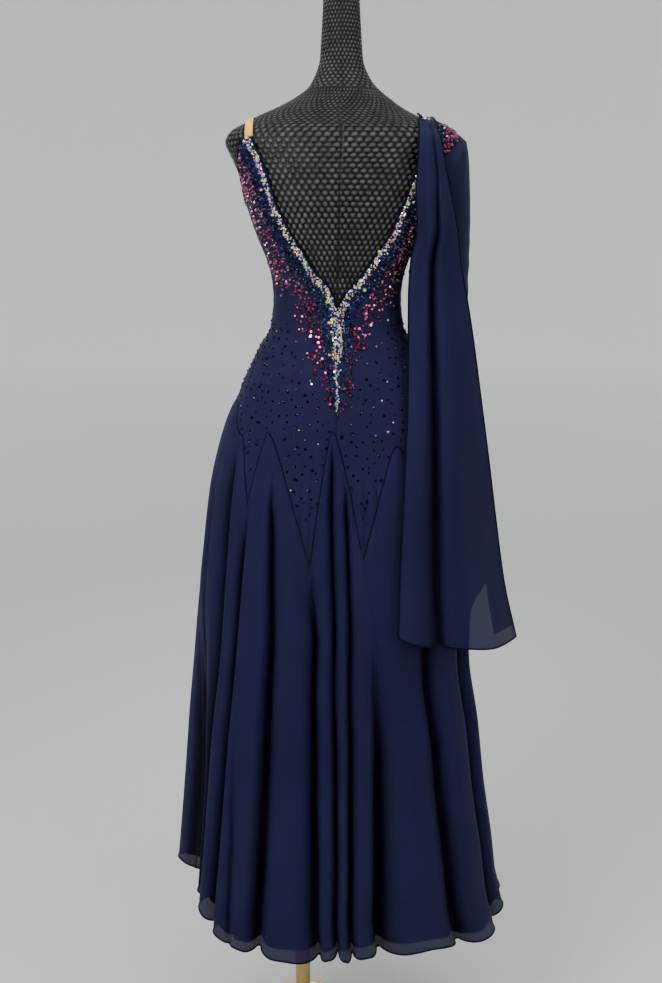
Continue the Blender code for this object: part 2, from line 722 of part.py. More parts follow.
def build_stand(collection):
    """A pole up to the form's underside, on a turned base with a rounded rim."""
    top = FORM_SECTIONS[0, 0] - TOUCH
    length = top - BASE_HEIGHT
    bpy.ops.mesh.primitive_cylinder_add(
        vertices=POLE_SIDES,
        radius=POLE_RADIUS,
        depth=length,
        location=(0, 0, BASE_HEIGHT + length / 2),
    )
    pole = bpy.context.object
    pole.name = "stand_pole"
    pole.data.materials.append(material("brass"))
    pole.data.shade_smooth()
    pole.data.set_sharp_from_angle(angle=SHARP_ANGLE)
    for owner in pole.users_collection:
        owner.objects.unlink(pole)
    collection.objects.link(pole)

    rim_x, rim_z = BASE_RADIUS - BASE_EDGE, BASE_HEIGHT - BASE_SLOPE - BASE_EDGE
    profile = [(0.0, 0.0, BASE_HEIGHT), (POLE_RADIUS + COLLAR, 0.0, BASE_HEIGHT)]
    profile += [
        (rim_x + BASE_EDGE * math.cos(turn), 0.0, rim_z + BASE_EDGE * math.sin(turn))
        for turn in np.linspace(math.pi / 2, 0, RIM_POINTS)
    ]
    profile += [(BASE_RADIUS, 0.0, 0.0), (0.0, 0.0, 0.0)]
    mesh = bpy.data.meshes.new("stand_base")
    mesh.from_pydata(profile, [(i, i + 1) for i in range(len(profile) - 1)], [])
    mesh.materials.append(material("brass"))
    base = bpy.data.objects.new("stand_base", mesh)
    collection.objects.link(base)
    turned = base.modifiers.new("Turned", "SCREW")
    turned.steps = turned.render_steps = BASE_SIDES
    turned.use_merge_vertices = True
    turned.merge_threshold = MERGED
    turned.use_smooth_shade = False


def main():
    for old in list(bpy.data.objects):
        bpy.data.objects.remove(old, do_unlink=True)
    collection = bpy.data.collections.new("ballroom_dance_dress")
    bpy.context.scene.collection.children.link(collection)
    build_form(collection)
    build_stand(collection)
    build_bodice(collection)
    build_strap(collection)
    build_sleeve(collection)
    build_float(collection)
    build_gores(collection)
    build_lining(collection)


if __name__ == "__main__":
    main()
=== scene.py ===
import math

import bpy
import numpy as np
from bpy.props import FloatProperty, FloatVectorProperty, IntProperty, PointerProperty
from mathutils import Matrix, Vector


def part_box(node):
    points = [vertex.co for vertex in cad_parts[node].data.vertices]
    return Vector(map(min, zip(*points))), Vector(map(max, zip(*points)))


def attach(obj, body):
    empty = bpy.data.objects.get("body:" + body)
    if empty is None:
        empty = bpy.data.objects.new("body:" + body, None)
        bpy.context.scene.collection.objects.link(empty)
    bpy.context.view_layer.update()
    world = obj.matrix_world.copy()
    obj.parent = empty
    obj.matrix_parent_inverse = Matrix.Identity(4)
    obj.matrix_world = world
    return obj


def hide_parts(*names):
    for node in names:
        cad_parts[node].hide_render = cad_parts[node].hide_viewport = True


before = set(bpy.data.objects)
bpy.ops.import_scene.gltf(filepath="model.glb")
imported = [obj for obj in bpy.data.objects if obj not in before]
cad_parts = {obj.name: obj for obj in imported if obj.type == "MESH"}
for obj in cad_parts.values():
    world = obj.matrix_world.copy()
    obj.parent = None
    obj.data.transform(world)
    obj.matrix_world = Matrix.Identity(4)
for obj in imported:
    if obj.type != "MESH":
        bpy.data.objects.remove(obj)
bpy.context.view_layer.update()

bl_info = {
    "name": "Ballroom dance dress",
    "version": (1, 0, 0),
    "blender": (4, 5, 0),
    "location": "3D View > Sidebar > Dress",
    "description": "Dresses the ballroom dance dress and its form, one piece or group at a time",
    "category": "Object",
}

# Angles are degrees round the body: 0 is the wearer's left (+X) and 90 the back (+Y).

WALL = 0.0012  # thickness of the bodice's cloth
EASE = 0.0022  # from the form's cover to the cloth
LIFT = WALL + EASE  # the bodice's outer face above the form
SECOND_SKIN = 0.0009  # how far the cloth's second skin lies inside the first
SQUARENESS = 0.06  # how far the body's sections reach out at their four corners

# The body's level sections: height, middle in x, half width, depth to the back and to the front
FORM_SECTIONS = np.array(
    [
        (1.03, -0.063, 0.15, 0.1, 0.09), (1.1, -0.063, 0.158, 0.108, 0.096),
        (1.17, -0.063, 0.164, 0.114, 0.101), (1.22, -0.063, 0.166, 0.115, 0.103),
        (1.25, -0.063, 0.1629, 0.1135, 0.102), (1.284, -0.063, 0.149, 0.108, 0.1),
        (1.327, -0.0635, 0.128, 0.094, 0.096), (1.365, -0.064, 0.108, 0.082, 0.09),
        (1.414, -0.0641, 0.1029, 0.078, 0.087), (1.443, -0.0645, 0.1058, 0.081, 0.091),
        (1.473, -0.065, 0.1141, 0.085, 0.101), (1.513, -0.066, 0.1314, 0.09, 0.116),
        (1.56, -0.067, 0.1481, 0.094, 0.112), (1.6, -0.068, 0.161, 0.0925, 0.103),
        (1.62, -0.069, 0.1705, 0.0895, 0.098), (1.64, -0.07, 0.181, 0.0855, 0.092),
        (1.65, -0.07, 0.1858, 0.083, 0.0885), (1.658, -0.07, 0.1875, 0.0805, 0.085),
        (1.674, -0.07, 0.178, 0.0745, 0.0775), (1.684, -0.067, 0.156, 0.0705, 0.0725),
        (1.696, -0.0645, 0.1303, 0.0655, 0.0665), (1.708, -0.067, 0.104, 0.0605, 0.061),
        (1.723, -0.071, 0.0786, 0.0545, 0.0545), (1.738, -0.0725, 0.0579, 0.0488, 0.0485),
        (1.753, -0.0713, 0.0465, 0.0435, 0.043), (1.783, -0.0705, 0.035, 0.037, 0.037),
        (1.813, -0.0703, 0.0327, 0.034, 0.034), (1.872, -0.0703, 0.0292, 0.031, 0.031),
        (1.915, -0.0703, 0.028, 0.029, 0.029), (1.927, -0.0703, 0.0235, 0.024, 0.024),
        (1.93, -0.0703, 0.013, 0.013, 0.013),
    ]
)
SKIRT_SECTIONS = np.array(
    [
        (0.306, -0.069, 0.3019, 0.202, 0.2), (0.391, -0.0622, 0.2885, 0.197, 0.193),
        (0.453, -0.0617, 0.2816, 0.192, 0.187), (0.576, -0.0584, 0.2663, 0.18, 0.175),
        (0.682, -0.057, 0.2551, 0.173, 0.168), (0.789, -0.054, 0.2402, 0.165, 0.16),
        (0.87, -0.056, 0.2337, 0.16, 0.154), (0.985, -0.059, 0.223, 0.149, 0.143),
        (1.091, -0.061, 0.211, 0.139, 0.132), (1.165, -0.062, 0.194, 0.128, 0.12),
        (1.206, -0.0625, 0.1812, 0.121, 0.112),
    ]
)
YOKE_LEVEL = 1.25  # above this the dress follows the form, and below it the skirt's outline
BODY_SECTIONS = np.vstack([SKIRT_SECTIONS, FORM_SECTIONS[FORM_SECTIONS[:, 0] >= YOKE_LEVEL]])

# The yoke's lower edge: angle and height of each point and of the arch's top that follows it
YOKE_EDGE = np.array(
    [
        (25.0, 1.234, 39.5, 1.191), (51.5, 1.08, 55.5, 1.199), (79.9, 0.985, 88.0, 1.203),
        (101.7, 0.995, 119.0, 1.178), (130.0, 1.08, 140.5, 1.191), (155.0, 1.08, 180.0, 1.195),
        (205.0, 1.08, 217.0, 1.191), (230.0, 1.08, 243.0, 1.198), (258.0, 0.99, 270.0, 1.203),
        (282.0, 0.99, 297.0, 1.198), (310.0, 1.08, 323.0, 1.191), (335.0, 1.08, 360.0, 1.246),
    ]
)
ARCH_POWER = 1.5
YOKE_LOW, YOKE_HIGH = 1.06, 1.375  # heights between which the yoke has studs
SINGLE_STONES = 70
EDGE_KEPT = 1.0  # degrees next to an open edge that are kept free of stones

# The valleys between the skirt's folds: angle at five heights, depth, how far below the yoke the
# valley starts, and the length in which it grows
VALLEY_LEVELS = (1.080, 0.970, 0.850, 0.640, 0.330)
VALLEYS = np.array(
    [
        (11.0, 11.0, 11.0, 11.0, 11.0, 0.012, 0.0, 0.3),
        (25.0, 25.0, 25.0, 24.5, 24.0, 0.004, 0.0, 0.24),
        (39.0, 40.6, 41.3, 37.5, 35.3, 0.038, 0.0, 0.11),
        (51.5, 50.3, 50.4, 48.4, 44.8, 0.034, 0.0, 0.12),
        (57.0, 56.0, 55.0, 52.6, 52.8, 0.012, 0.4, 0.4),
        (62.0, 63.7, 65.3, 64.5, 62.0, 0.036, 0.03, 0.11),
        (79.9, 80.4, 83.8, 83.5, 83.4, 0.034, 0.0, 0.12),
        (88.4, 89.7, 91.1, 91.0, 89.5, 0.034, 0.0, 0.1),
        (94.8, 96.1, 97.2, 96.2, 94.1, 0.034, 0.0, 0.08),
        (101.7, 102.6, 107.2, 106.0, 103.0, 0.042, 0.05, 0.4),
        (130.0, 130.0, 129.8, 131.4, 133.4, 0.034, 0.0, 0.22),
        (155.0, 154.5, 153.5, 154.0, 157.0, 0.034, 0.0, 0.24),
        (168.0, 168.0, 168.0, 168.5, 170.0, 0.03, 0.0, 0.3),
        (186.0, 186.0, 186.0, 187.0, 188.0, 0.034, 0.0, 0.3),
        (205.0, 205.0, 204.6, 204.0, 205.0, 0.032, 0.0, 0.24),
        (222.0, 222.0, 221.6, 221.0, 219.5, 0.026, 0.02, 0.3),
        (230.0, 230.0, 230.6, 232.0, 231.0, 0.03, 0.0, 0.22),
        (244.0, 244.0, 244.2, 244.5, 246.0, 0.026, 0.02, 0.32),
        (258.0, 258.0, 257.4, 256.5, 257.0, 0.032, 0.0, 0.16),
        (266.0, 266.0, 266.4, 267.0, 266.0, 0.028, 0.0, 0.18),
        (282.0, 282.0, 281.6, 281.0, 282.5, 0.034, 0.0, 0.16),
        (296.0, 296.0, 296.4, 297.0, 295.0, 0.026, 0.02, 0.32),
        (310.0, 310.0, 310.4, 311.0, 312.0, 0.032, 0.0, 0.22),
        (322.0, 322.0, 322.4, 323.0, 322.0, 0.028, 0.0, 0.3),
        (335.0, 335.0, 334.6, 334.0, 335.5, 0.032, 0.0, 0.24),
        (348.0, 348.0, 347.6, 347.0, 346.0, 0.036, 0.0, 0.3),
    ]
)
FOLD_SQUARENESS, FOLD_EDGE = 3.2, 0.70  # powers of a fold's crest, (1 - |x|^first)^second
PAINTED_SHADE_FULL_DEPTH = 0.030  # depth in a fold from which the painted shade of its cloth is at its darkest
FOLD_FLOOR = 0.92  # where the flat floor of a valley starts, as a share of half the fold
UNDER_YOKE = 0.0006  # from the yoke's edge down to the gores' tops
HEM_DIP = 0.005  # how much lower the hem is at a fold's valleys than on its crest
PUFF, PUFF_OVER = 0.0030, 0.008  # how far the gores stand out below the yoke, and over what drop
UNEVEN_OVER = 0.25  # drop over which the cloth's unevenness grows
# A hollow at the left side, from which the outermost fold stands away: angle, half width, depth,
# and the heights between which it deepens
HOLLOW = (21.5, 11.5, 0.050, 0.960, 0.560)
# The gores run from one of these valleys to the next
GORE_VALLEYS = (1, 3, 6, 9, 10, 11, 14, 16, 18, 20, 22, 24)

# The hem: angle and height, once round
HEM = np.array(
    [
        (0.0, 0.382), (18.0, 0.39), (34.0, 0.378), (41.0, 0.371), (49.0, 0.349), (57.0, 0.321),
        (66.0, 0.309), (76.0, 0.306), (84.0, 0.314), (88.0, 0.317), (93.0, 0.309), (99.0, 0.317),
        (106.0, 0.318), (118.0, 0.321), (130.0, 0.308), (144.0, 0.3), (155.0, 0.31), (164.0, 0.322),
        (180.0, 0.328), (210.0, 0.322), (245.0, 0.312), (290.0, 0.31), (325.0, 0.33),
        (345.0, 0.358), (360.0, 0.382),
    ]
)
# The lining: height, how far it lies inside the skirt, and how far it does so at the left side
LINING_ROWS = np.array(
    [(0.300, 0.014, 0.032), (0.640, 0.011, 0.024), (0.930, 0.007, 0.008), (1.060, 0.005, 0.005)]
)
LINING_ABOVE_HEM = (0.012, 0.028)  # at the back, and at the left side

# The open edges of the bodice: height and angle
NECK_LEFT = np.array(
    [(1.396, 90), (1.421, 85.2), (1.437, 78.4), (1.455, 70.6), (1.477, 64.7), (1.497, 60.4)]
    + [(1.519, 56.2), (1.542, 52.6), (1.573, 49.9), (1.619, 48.0), (1.658, 46.1)],
    float,
)
ARM_LEFT = np.array(
    [(1.560, 0), (1.582, 12), (1.610, 20.8), (1.635, 30.5), (1.648, 35.5), (1.658, 37.6)], float
)
NECK_RIGHT = np.array(
    [(1.396, 90), (1.421, 98.2), (1.440, 107), (1.469, 116.6), (1.503, 124.1), (1.527, 126.8)]
    + [(1.579, 131.4), (1.603, 132.2), (1.630, 131), (1.660, 130.5), (1.680, 137), (1.696, 160)],
    float,
)
NECK_FRONT_LEFT = np.array(
    [(1.545, 270), (1.552, 284), (1.570, 296), (1.600, 304), (1.630, 308), (1.658, 310)], float
)
NECK_FRONT_RIGHT = np.array(
    [(1.545, 270), (1.552, 256), (1.570, 246), (1.600, 239), (1.640, 231)]
    + [(1.680, 222), (1.696, 199)],
    float,
)
ARM_FRONT_LEFT = np.array([(1.560, 360), (1.590, 349), (1.625, 334), (1.658, 322)], float)
SHOULDER_TOP = 1.696
STRAP_FOOT = 1.658
ARMHOLE_MIDDLE, ARMHOLE_HALF_HEIGHT, ARMHOLE_HALF_ANGLE = 1.605, 0.052, 32.0

# The sleeve's rings below its cap: outer edge in x and z, inner edge in x and z, half depth
SLEEVE_RINGS = np.array(
    [
        (-0.272, 1.655, -0.22, 1.546, 0.052), (-0.2775, 1.63, -0.215, 1.533, 0.05),
        (-0.28, 1.58, -0.207, 1.513, 0.047), (-0.282, 1.52, -0.197, 1.485, 0.046),
        (-0.283, 1.46, -0.184, 1.452, 0.044), (-0.283, 1.38, -0.188, 1.38, 0.041),
        (-0.288, 1.3, -0.224, 1.3, 0.038), (-0.301, 1.22, -0.26, 1.22, 0.034),
        (-0.313, 1.155, -0.269, 1.155, 0.031),
    ]
)

FORM_LOW, COVER_FROM, FORM_TOP = 1.030, 1.360, 1.930  # heights; between the last two it shows
COVER_STEP, COVER_STEP_BELOW = 0.0021, 0.020  # lengths between the cover's rows
BACK_STEP, FRONT_STEP = 0.72, 2.8  # degrees between its columns
SEAM_HALF_WIDTH, SEAM_DEPTH = 0.0012, 0.0013
SCALE_OVAL = (0.92, 0.58)  # half width and half height of a cover's scale, as shares of its cell
NECK_FROM = 1.735  # above this the form's neck has its own, finer scales
CUFF = 9.0  # level of the sleeve's last ring
CAP_LIFT = 0.0016  # from the bodice to the sleeve's cap
STRAP_HALF_WIDTH = 0.0063
YOKE_SEAM_LINE_RADIUS = 0.0011  # of the dark tube along the yoke's seam: the seam with a painted shadow line beside it
FLOAT_BULGE = 0.026
SLEEVE_HEAD = 0.004  # how far the top of the sleeve's head is rounded up

# The float's edges, from the shoulder down: x, y, z of the left one, then of the right one
FLOAT_EDGES = np.array(
    [
        (-0.195, 0.012, 1.7, -0.216, 0.006, 1.7), (-0.192, 0.043, 1.696, -0.218, 0.035, 1.696),
        (-0.19, 0.066, 1.676, -0.22, 0.056, 1.677), (-0.189, 0.081, 1.651, -0.225, 0.07, 1.653),
        (-0.188, 0.085, 1.621, -0.23, 0.073, 1.622), (-0.186, 0.084, 1.577, -0.24, 0.072, 1.578),
        (-0.189, 0.079, 1.517, -0.253, 0.068, 1.517), (-0.18, 0.075, 1.468, -0.26, 0.064, 1.468),
        (-0.177, 0.078, 1.409, -0.273, 0.06, 1.408), (-0.177, 0.086, 1.346, -0.285, 0.058, 1.344),
        (-0.176, 0.108, 1.252, -0.301, 0.056, 1.246), (-0.172, 0.131, 1.159, -0.317, 0.054, 1.146),
        (-0.168, 0.146, 1.065, -0.333, 0.05, 1.042), (-0.164, 0.157, 0.968, -0.351, 0.046, 0.935),
        (-0.162, 0.167, 0.876, -0.377, 0.042, 0.831),
    ]
)
# The float's one deep fold: row of the edges' table, share of the width, depth, and half width
FLOAT_FOLD = np.array(
    [
        (0.0, 0.62, 0.002, 0.05), (2.0, 0.66, 0.004, 0.05), (4.2, 0.66, 0.008, 0.05),
        (6.1, 0.5, 0.013, 0.044), (8.4, 0.39, 0.018, 0.046), (10.6, 0.353, 0.02, 0.05),
        (14.0, 0.335, 0.019, 0.054),
    ]
)

# The inner layer's side edge, cut away towards the hem: row of the edges' table, share of the width
INNER_CORNER = np.array(
    [
        (0.0, 0.97), (6.0, 0.92), (9.0, 0.87), (12.0, 0.84), (12.9, 0.835), (13.05, 0.78),
        (13.25, 0.68), (13.45, 0.62), (13.7, 0.585), (14.0, 0.57),
    ]
)
# The outer layer's right edge is turned back to this share of the width, by row of the same table
TURNED_BACK = np.array([(0, 0.985), (3, 0.95), (7, 0.86), (9, 0.81), (12, 0.815), (14, 0.80)])
TURNED_SHORTER = 0.22  # rows of the table by which the turned part ends above the hem
TURNED_BEHIND = 0.0032  # how far the turned part lies behind the rest
NEAR_HEM = 12.6  # row of the table below which the float's rows of faces are closer together
# The float's layers: name, share of the width at which it starts, inset, and rise of its hem
FLOAT_LAYERS = (("float_outer", 0.0, -0.0016, 0.0), ("float_inner", 0.03, 0.0055, 0.016))

STONE_COLOURS = {
    "white": (0.90, 0.92, 0.95),
    "yellow": (0.95, 0.78, 0.25),
    "pink": (0.85, 0.32, 0.55),
    "violet": (0.50, 0.32, 0.85),
    "blue": (0.25, 0.45, 0.92),
    "green": (0.32, 0.78, 0.35),
    "orange": (0.95, 0.42, 0.20),
    "peach": (0.95, 0.66, 0.50),
    "ruby": (0.13, 0.0025, 0.040),
    "rose": (0.30, 0.024, 0.13),
    "sapphire": (0.020, 0.040, 0.26),
    "ink": (0.008, 0.011, 0.045),
    # A lighter grey-blue given to some dark beads as their painted highlight.
    "painted_highlight_blue": (0.085, 0.095, 0.17),
    "jet": (0.0015, 0.0018, 0.006),
}
# Each band of stones beside the necklines: where it starts and ends, how much it thins out, and
# how far apart and how uneven its stones are
AURORA_BAND = (0.0, 0.012, 0.05, 0.0041, 0.20)
LARGE_BAND = (0.0, 0.020, 0.60, 0.0150, 0.40)
BEAD_BAND = (0.012, 0.031, 0.25, 0.0037, 0.17)
RUBY_BAND = (0.031, 0.080, 1.0, 0.0056, 0.22)
STUD_SPACING, STUD_JITTER = 0.0148, 0.20
SINGLE_LOW, SINGLE_HIGH = 1.10, 1.45  # heights between which single stones lie
SINGLE_CLEAR = 0.04  # least distance from a single stone to a neckline
ABOVE_EDGE = 0.008  # least height of a stud or a single stone above the yoke's lower edge
SMALL_STONE = 0.0021  # radius of a stud
TABLE_WIDTH = 0.56  # a stone's flat top, as a share of its width
# The drop of stones down the centre back, below the neckline's point: height and angle
DROP_LINE = np.array([(1.396, 90), (1.235, 90)], float)
DROP_TIP = 0.2  # width of the bands at its tip, as a share of their width at the neckline
AURORA_MIX = {"white": 5, "yellow": 3, "peach": 3, "pink": 3, "violet": 3, "green": 3}
AURORA_MIX |= {"blue": 1, "orange": 1}


# Shapes


def read_table(places, values, at):
    """Reads a table between its rows: a cubic through each pair of rows whose slopes are the
    harmonic means of the rises on both sides, so that it never overshoots them."""
    steps = np.diff(places)
    rises = np.diff(values) / steps
    before, after = rises[:-1], rises[1:]
    same_way = before * after > 0
    first, second = 2 * steps[1:] + steps[:-1], steps[1:] + 2 * steps[:-1]
    safe = np.where(same_way, before, 1.0), np.where(same_way, after, 1.0)
    mean = (first + second) / (first / safe[0] + second / safe[1])
    slopes = np.concatenate([rises[:1], np.where(same_way, mean, 0.0), rises[-1:]])
    at = np.clip(at, places[0], places[-1])
    row = np.clip(np.searchsorted(places, at) - 1, 0, len(steps) - 1)
    t = (at - places[row]) / steps[row]
    return (
        values[row] * (1 + 2 * t) * (1 - t) ** 2
        + slopes[row] * steps[row] * t * (1 - t) ** 2
        + values[row + 1] * t**2 * (3 - 2 * t)
        + slopes[row + 1] * steps[row] * t**2 * (t - 1)
    )


def ease_in(t):
    """0 below 0, 1 above 1, and a smooth step between them."""
    t = np.clip(t, 0, 1)
    return t * t * (3 - 2 * t)


def section_point(sections, angle, z):
    """A flattened oval at each height: its half width times the cosine of the angle, and its depth
    times the sine, both pushed out at the four corners by the squareness."""
    middle, half_width, back, front = (
        read_table(sections[:, 0], sections[:, k], z) for k in (1, 2, 3, 4)
    )
    turn = np.radians(angle)
    reach = 1 + SQUARENESS * np.sin(2 * turn) ** 2
    depth = np.where(np.sin(turn) >= 0, back, front)
    x = middle + half_width * np.cos(turn) * reach
    y = depth * np.sin(turn) * reach
    return np.stack([x, y, z + 0 * x], axis=-1)


def surface_normals(surface, u, v, step_u, step_v):
    """Unit normals: the cross product of the differences across a small step each way."""
    along = surface(u + step_u, v) - surface(u - step_u, v)
    across = surface(u, v + step_v) - surface(u, v - step_v)
    normal = np.cross(along, across)
    return normal / np.linalg.norm(normal, axis=-1, keepdims=True)


def off_body(angle, z, lift, sections=BODY_SECTIONS):
    """Points and unit normals of the body's surface, moved out along the normals by lift."""
    angle, z, lift = np.broadcast_arrays(angle, z, lift)

    def surface(u, v):
        return section_point(sections, u, v)

    normal = surface_normals(surface, angle, z, 0.2, 0.001)
    return surface(angle, z) + normal * lift[..., None], normal


def yoke_edge_height(angle):
    """Between two points the yoke's edge is an arch, which falls by a power of the way."""
    start = YOKE_EDGE[:, 0]
    angle = np.mod(angle - start[0], 360) + start[0]
    here = np.searchsorted(start, angle, side="right") - 1
    following = (here + 1) % len(start)
    end = start[following] + 360 * (following == 0)
    top, top_z = YOKE_EDGE[here, 2], YOKE_EDGE[here, 3]
    rising = angle < top
    side = np.where(rising, start[here], end)
    side_z = np.where(rising, YOKE_EDGE[here, 1], YOKE_EDGE[following, 1])
    way = np.abs((angle - top) / (side - top))
    return top_z - (top_z - side_z) * way**ARCH_POWER


def waves(seed, angle, z, cycles, size, tall):
    """Soft unevenness: a few cosines round the body whose phases drift with height."""
    rng = np.random.default_rng(seed)
    total = 0 * (angle + z)
    for _ in range(5):
        count = rng.integers(*cycles)
        drift, start = rng.uniform(-1, 1) * 2 * np.pi / tall, rng.uniform(0, 2 * np.pi)
        total = total + np.cos(np.radians(angle) * count + z * drift + start)
    return size * total / 3


def grid_quads(rows, columns, wrap):
    """Corner numbers of the quads over a grid of points, and the same for its unwrapped UV grid."""
    r, c = np.meshgrid(
        np.arange(rows - 1), np.arange(columns if wrap else columns - 1), indexing="ij"
    )
    after = (c + 1) % columns
    quads = [r * columns + c, r * columns + after, (r + 1) * columns + after, (r + 1) * columns + c]
    wide = columns + 1 if wrap else columns
    flat = [r * wide + c, r * wide + c + 1, (r + 1) * wide + c + 1, (r + 1) * wide + c]
    return np.stack(quads, -1).reshape(-1, 4), np.stack(flat, -1).reshape(-1, 4)


def flat_lengths(points, wrap):
    """UVs in metres: the length along the middle row, and the length up the middle column."""
    if wrap:
        points = np.concatenate([points, points[:, :1]], axis=1)
    row = points[len(points) // 2]
    column = points[:, points.shape[1] // 2]
    across = np.concatenate([[0], np.cumsum(np.linalg.norm(np.diff(row, axis=0), axis=1))])
    up = np.concatenate([[0], np.cumsum(np.linalg.norm(np.diff(column, axis=0), axis=1))])
    return np.stack(np.meshgrid(across, up), axis=-1)


def add_piece(name, points, faces, finish, uv=None, colours=None, smooth=True):
    """Puts arrays of points and of faces, one array for each number of corners, into a new mesh."""
    mesh = bpy.data.meshes.new(name)
    corners = np.concatenate([face.ravel() for face in faces]).astype(np.int32)
    sizes = np.concatenate([np.full(len(face), face.shape[1]) for face in faces])
    starts = np.concatenate([[0], np.cumsum(sizes)[:-1]]).astype(np.int32)
    mesh.vertices.add(len(points))
    mesh.vertices.foreach_set("co", np.ascontiguousarray(points, np.float32).ravel())
    mesh.loops.add(len(corners))
    mesh.loops.foreach_set("vertex_index", corners)
    mesh.polygons.add(len(starts))
    mesh.polygons.foreach_set("loop_start", starts)
    mesh.polygons.foreach_set("use_smooth", np.full(len(starts), smooth))
    mesh.update(calc_edges=True)
    if uv is not None:
        layer = mesh.uv_layers.new(name="cloth")
        layer.data.foreach_set("uv", np.ascontiguousarray(uv, np.float32).ravel())
    if colours is not None:
        # Each corner's colour holds the stone's own colour with the painted highlight and shade of
        # its facet.
        layer = mesh.attributes.new("stone_colour", "FLOAT_COLOR", "CORNER")
        layer.data.foreach_set("color", np.ascontiguousarray(colours, np.float32).ravel())
    mesh.materials.append(finish)
    piece = bpy.data.objects.new(name, mesh)
    bpy.context.scene.collection.objects.link(piece)
    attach(piece, "root")
    return piece


def add_grid(name, points, finish, wrap=False, caps=False, places=None):
    """A surface over a grid of points, rows going up and columns round the body or to its back.
    Its UVs are the places, or lengths along the surface where none are given."""
    rows, columns = points.shape[:2]
    quads, flat = grid_quads(rows, columns, wrap)
    places = flat_lengths(points, wrap) if places is None else places
    uv = places.reshape(-1, 2)[flat]
    faces = [quads]
    if caps:
        bottom = np.arange(columns)[None, ::-1]
        top = (rows - 1) * columns + np.arange(columns)[None]
        faces += [bottom, top]
        uv = np.concatenate([uv.reshape(-1, 2), np.zeros((2 * columns, 2))])
    return add_piece(name, points.reshape(-1, 3), faces, finish, uv)


def add_painted_fold_shade(piece, depths):
    """Sets the painted shade of each point in a fold, from 0 on the crests to 1 a given depth
    inside.
    """
    layer = piece.data.attributes.new("in_fold", "FLOAT", "POINT")
    layer.data.foreach_set("value", ease_in(depths / PAINTED_SHADE_FULL_DEPTH).astype(np.float32).ravel())


def thicken(piece, thickness):
    """Gives cloth its second skin, inwards."""
    wall = piece.modifiers.new("Thickness", "SOLIDIFY")
    wall.thickness = thickness
    wall.offset = -1.0


def tube_points(path, normal, radius, sides, closed=False):
    """A round profile carried along a path: a circle in the plane of the path's normal and of its
    cross product with the path's direction."""
    if closed:
        along = np.roll(path, -1, axis=0) - np.roll(path, 1, axis=0)
    else:
        along = np.gradient(path, axis=0)
    along = along / np.linalg.norm(along, axis=1, keepdims=True)
    side = np.cross(along, normal)
    side = side / np.linalg.norm(side, axis=1, keepdims=True)
    outward = np.cross(side, along)
    turn = np.linspace(0, 2 * np.pi, sides, endpoint=False)[None, :, None]
    ring = outward[:, None] * np.cos(turn) - side[:, None] * np.sin(turn)
    return path[:, None] + radius * ring


def tube_faces(count, sides, first, closed):
    """Quads between the rings of a tube, and its two end faces where it is open."""
    r, s = np.meshgrid(np.arange(count if closed else count - 1), np.arange(sides), indexing="ij")
    following, after = (r + 1) % count, (s + 1) % sides
    quads = np.stack(
        [r * sides + s, r * sides + after, following * sides + after, following * sides + s], -1
    ).reshape(-1, 4)
    ends = np.zeros((0, sides), int)
    if not closed:
        ends = np.stack([np.arange(sides)[::-1], (count - 1) * sides + np.arange(sides)])
    return quads + first, ends + first


def add_tubes(name, paths, radius, finish, sides=8):
    """Several tubes in one piece. Each path is (points, normals, closed)."""
    points, quads, ends, first = [], [], [], 0
    for path, normal, closed in paths:
        points.append(tube_points(path, normal, radius, sides, closed).reshape(-1, 3))
        some_quads, some_ends = tube_faces(len(path), sides, first, closed)
        quads.append(some_quads)
        ends.append(some_ends)
        first += len(path) * sides
    faces = [np.concatenate(quads), np.concatenate(ends)]
    faces = [face for face in faces if len(face)]
    return add_piece(name, np.concatenate(points), faces, finish)


# Finishes


def fill(node, inputs):
    """Gives each input of a node, by name or number, its value or another node's output."""
    for key, value in inputs.items():
        if isinstance(value, bpy.types.NodeSocket):
            node.id_data.links.new(value, node.inputs[key])
        else:
            node.inputs[key].default_value = value
    return node


def add_node(beside, kind, inputs, **settings):
    """Adds a node of a kind to the material that another node is in, and returns its outputs."""
    node = beside.id_data.nodes.new("ShaderNode" + kind)
    for key, value in settings.items():
        setattr(node, key, value)
    return fill(node, inputs).outputs


def new_finish(name):
    """A new material, its shader, and the outputs with the places on the piece."""
    made = bpy.data.materials.new(name)
    made.use_nodes = True
    shader = made.node_tree.nodes["Principled BSDF"]
    return made, shader, add_node(shader, "TexCoord", {})


def add_ramp(shader, factor, *stops):
    """A ramp between two colours, each given with its place on the ramp."""
    ramp = shader.id_data.nodes.new("ShaderNodeValToRGB")
    fill(ramp, {"Fac": factor})
    for element, (place, colour) in zip(ramp.color_ramp.elements, stops):
        element.position, element.color = place, (*colour, 1)
    return ramp.outputs["Color"]


def tinted(shader, place, colour, spread, scale):
    """The colour drifts between a darker and a lighter shade of itself."""
    noise = {"Scale": scale, "Detail": 3.0, "Vector": place["Object"]}
    shades = [[c * (1 + way * spread) for c in colour] for way in (-1, 1)]
    factor = add_node(shader, "TexNoise", noise)["Fac"]
    return add_ramp(shader, factor, (0.3, shades[0]), (0.7, shades[1]))


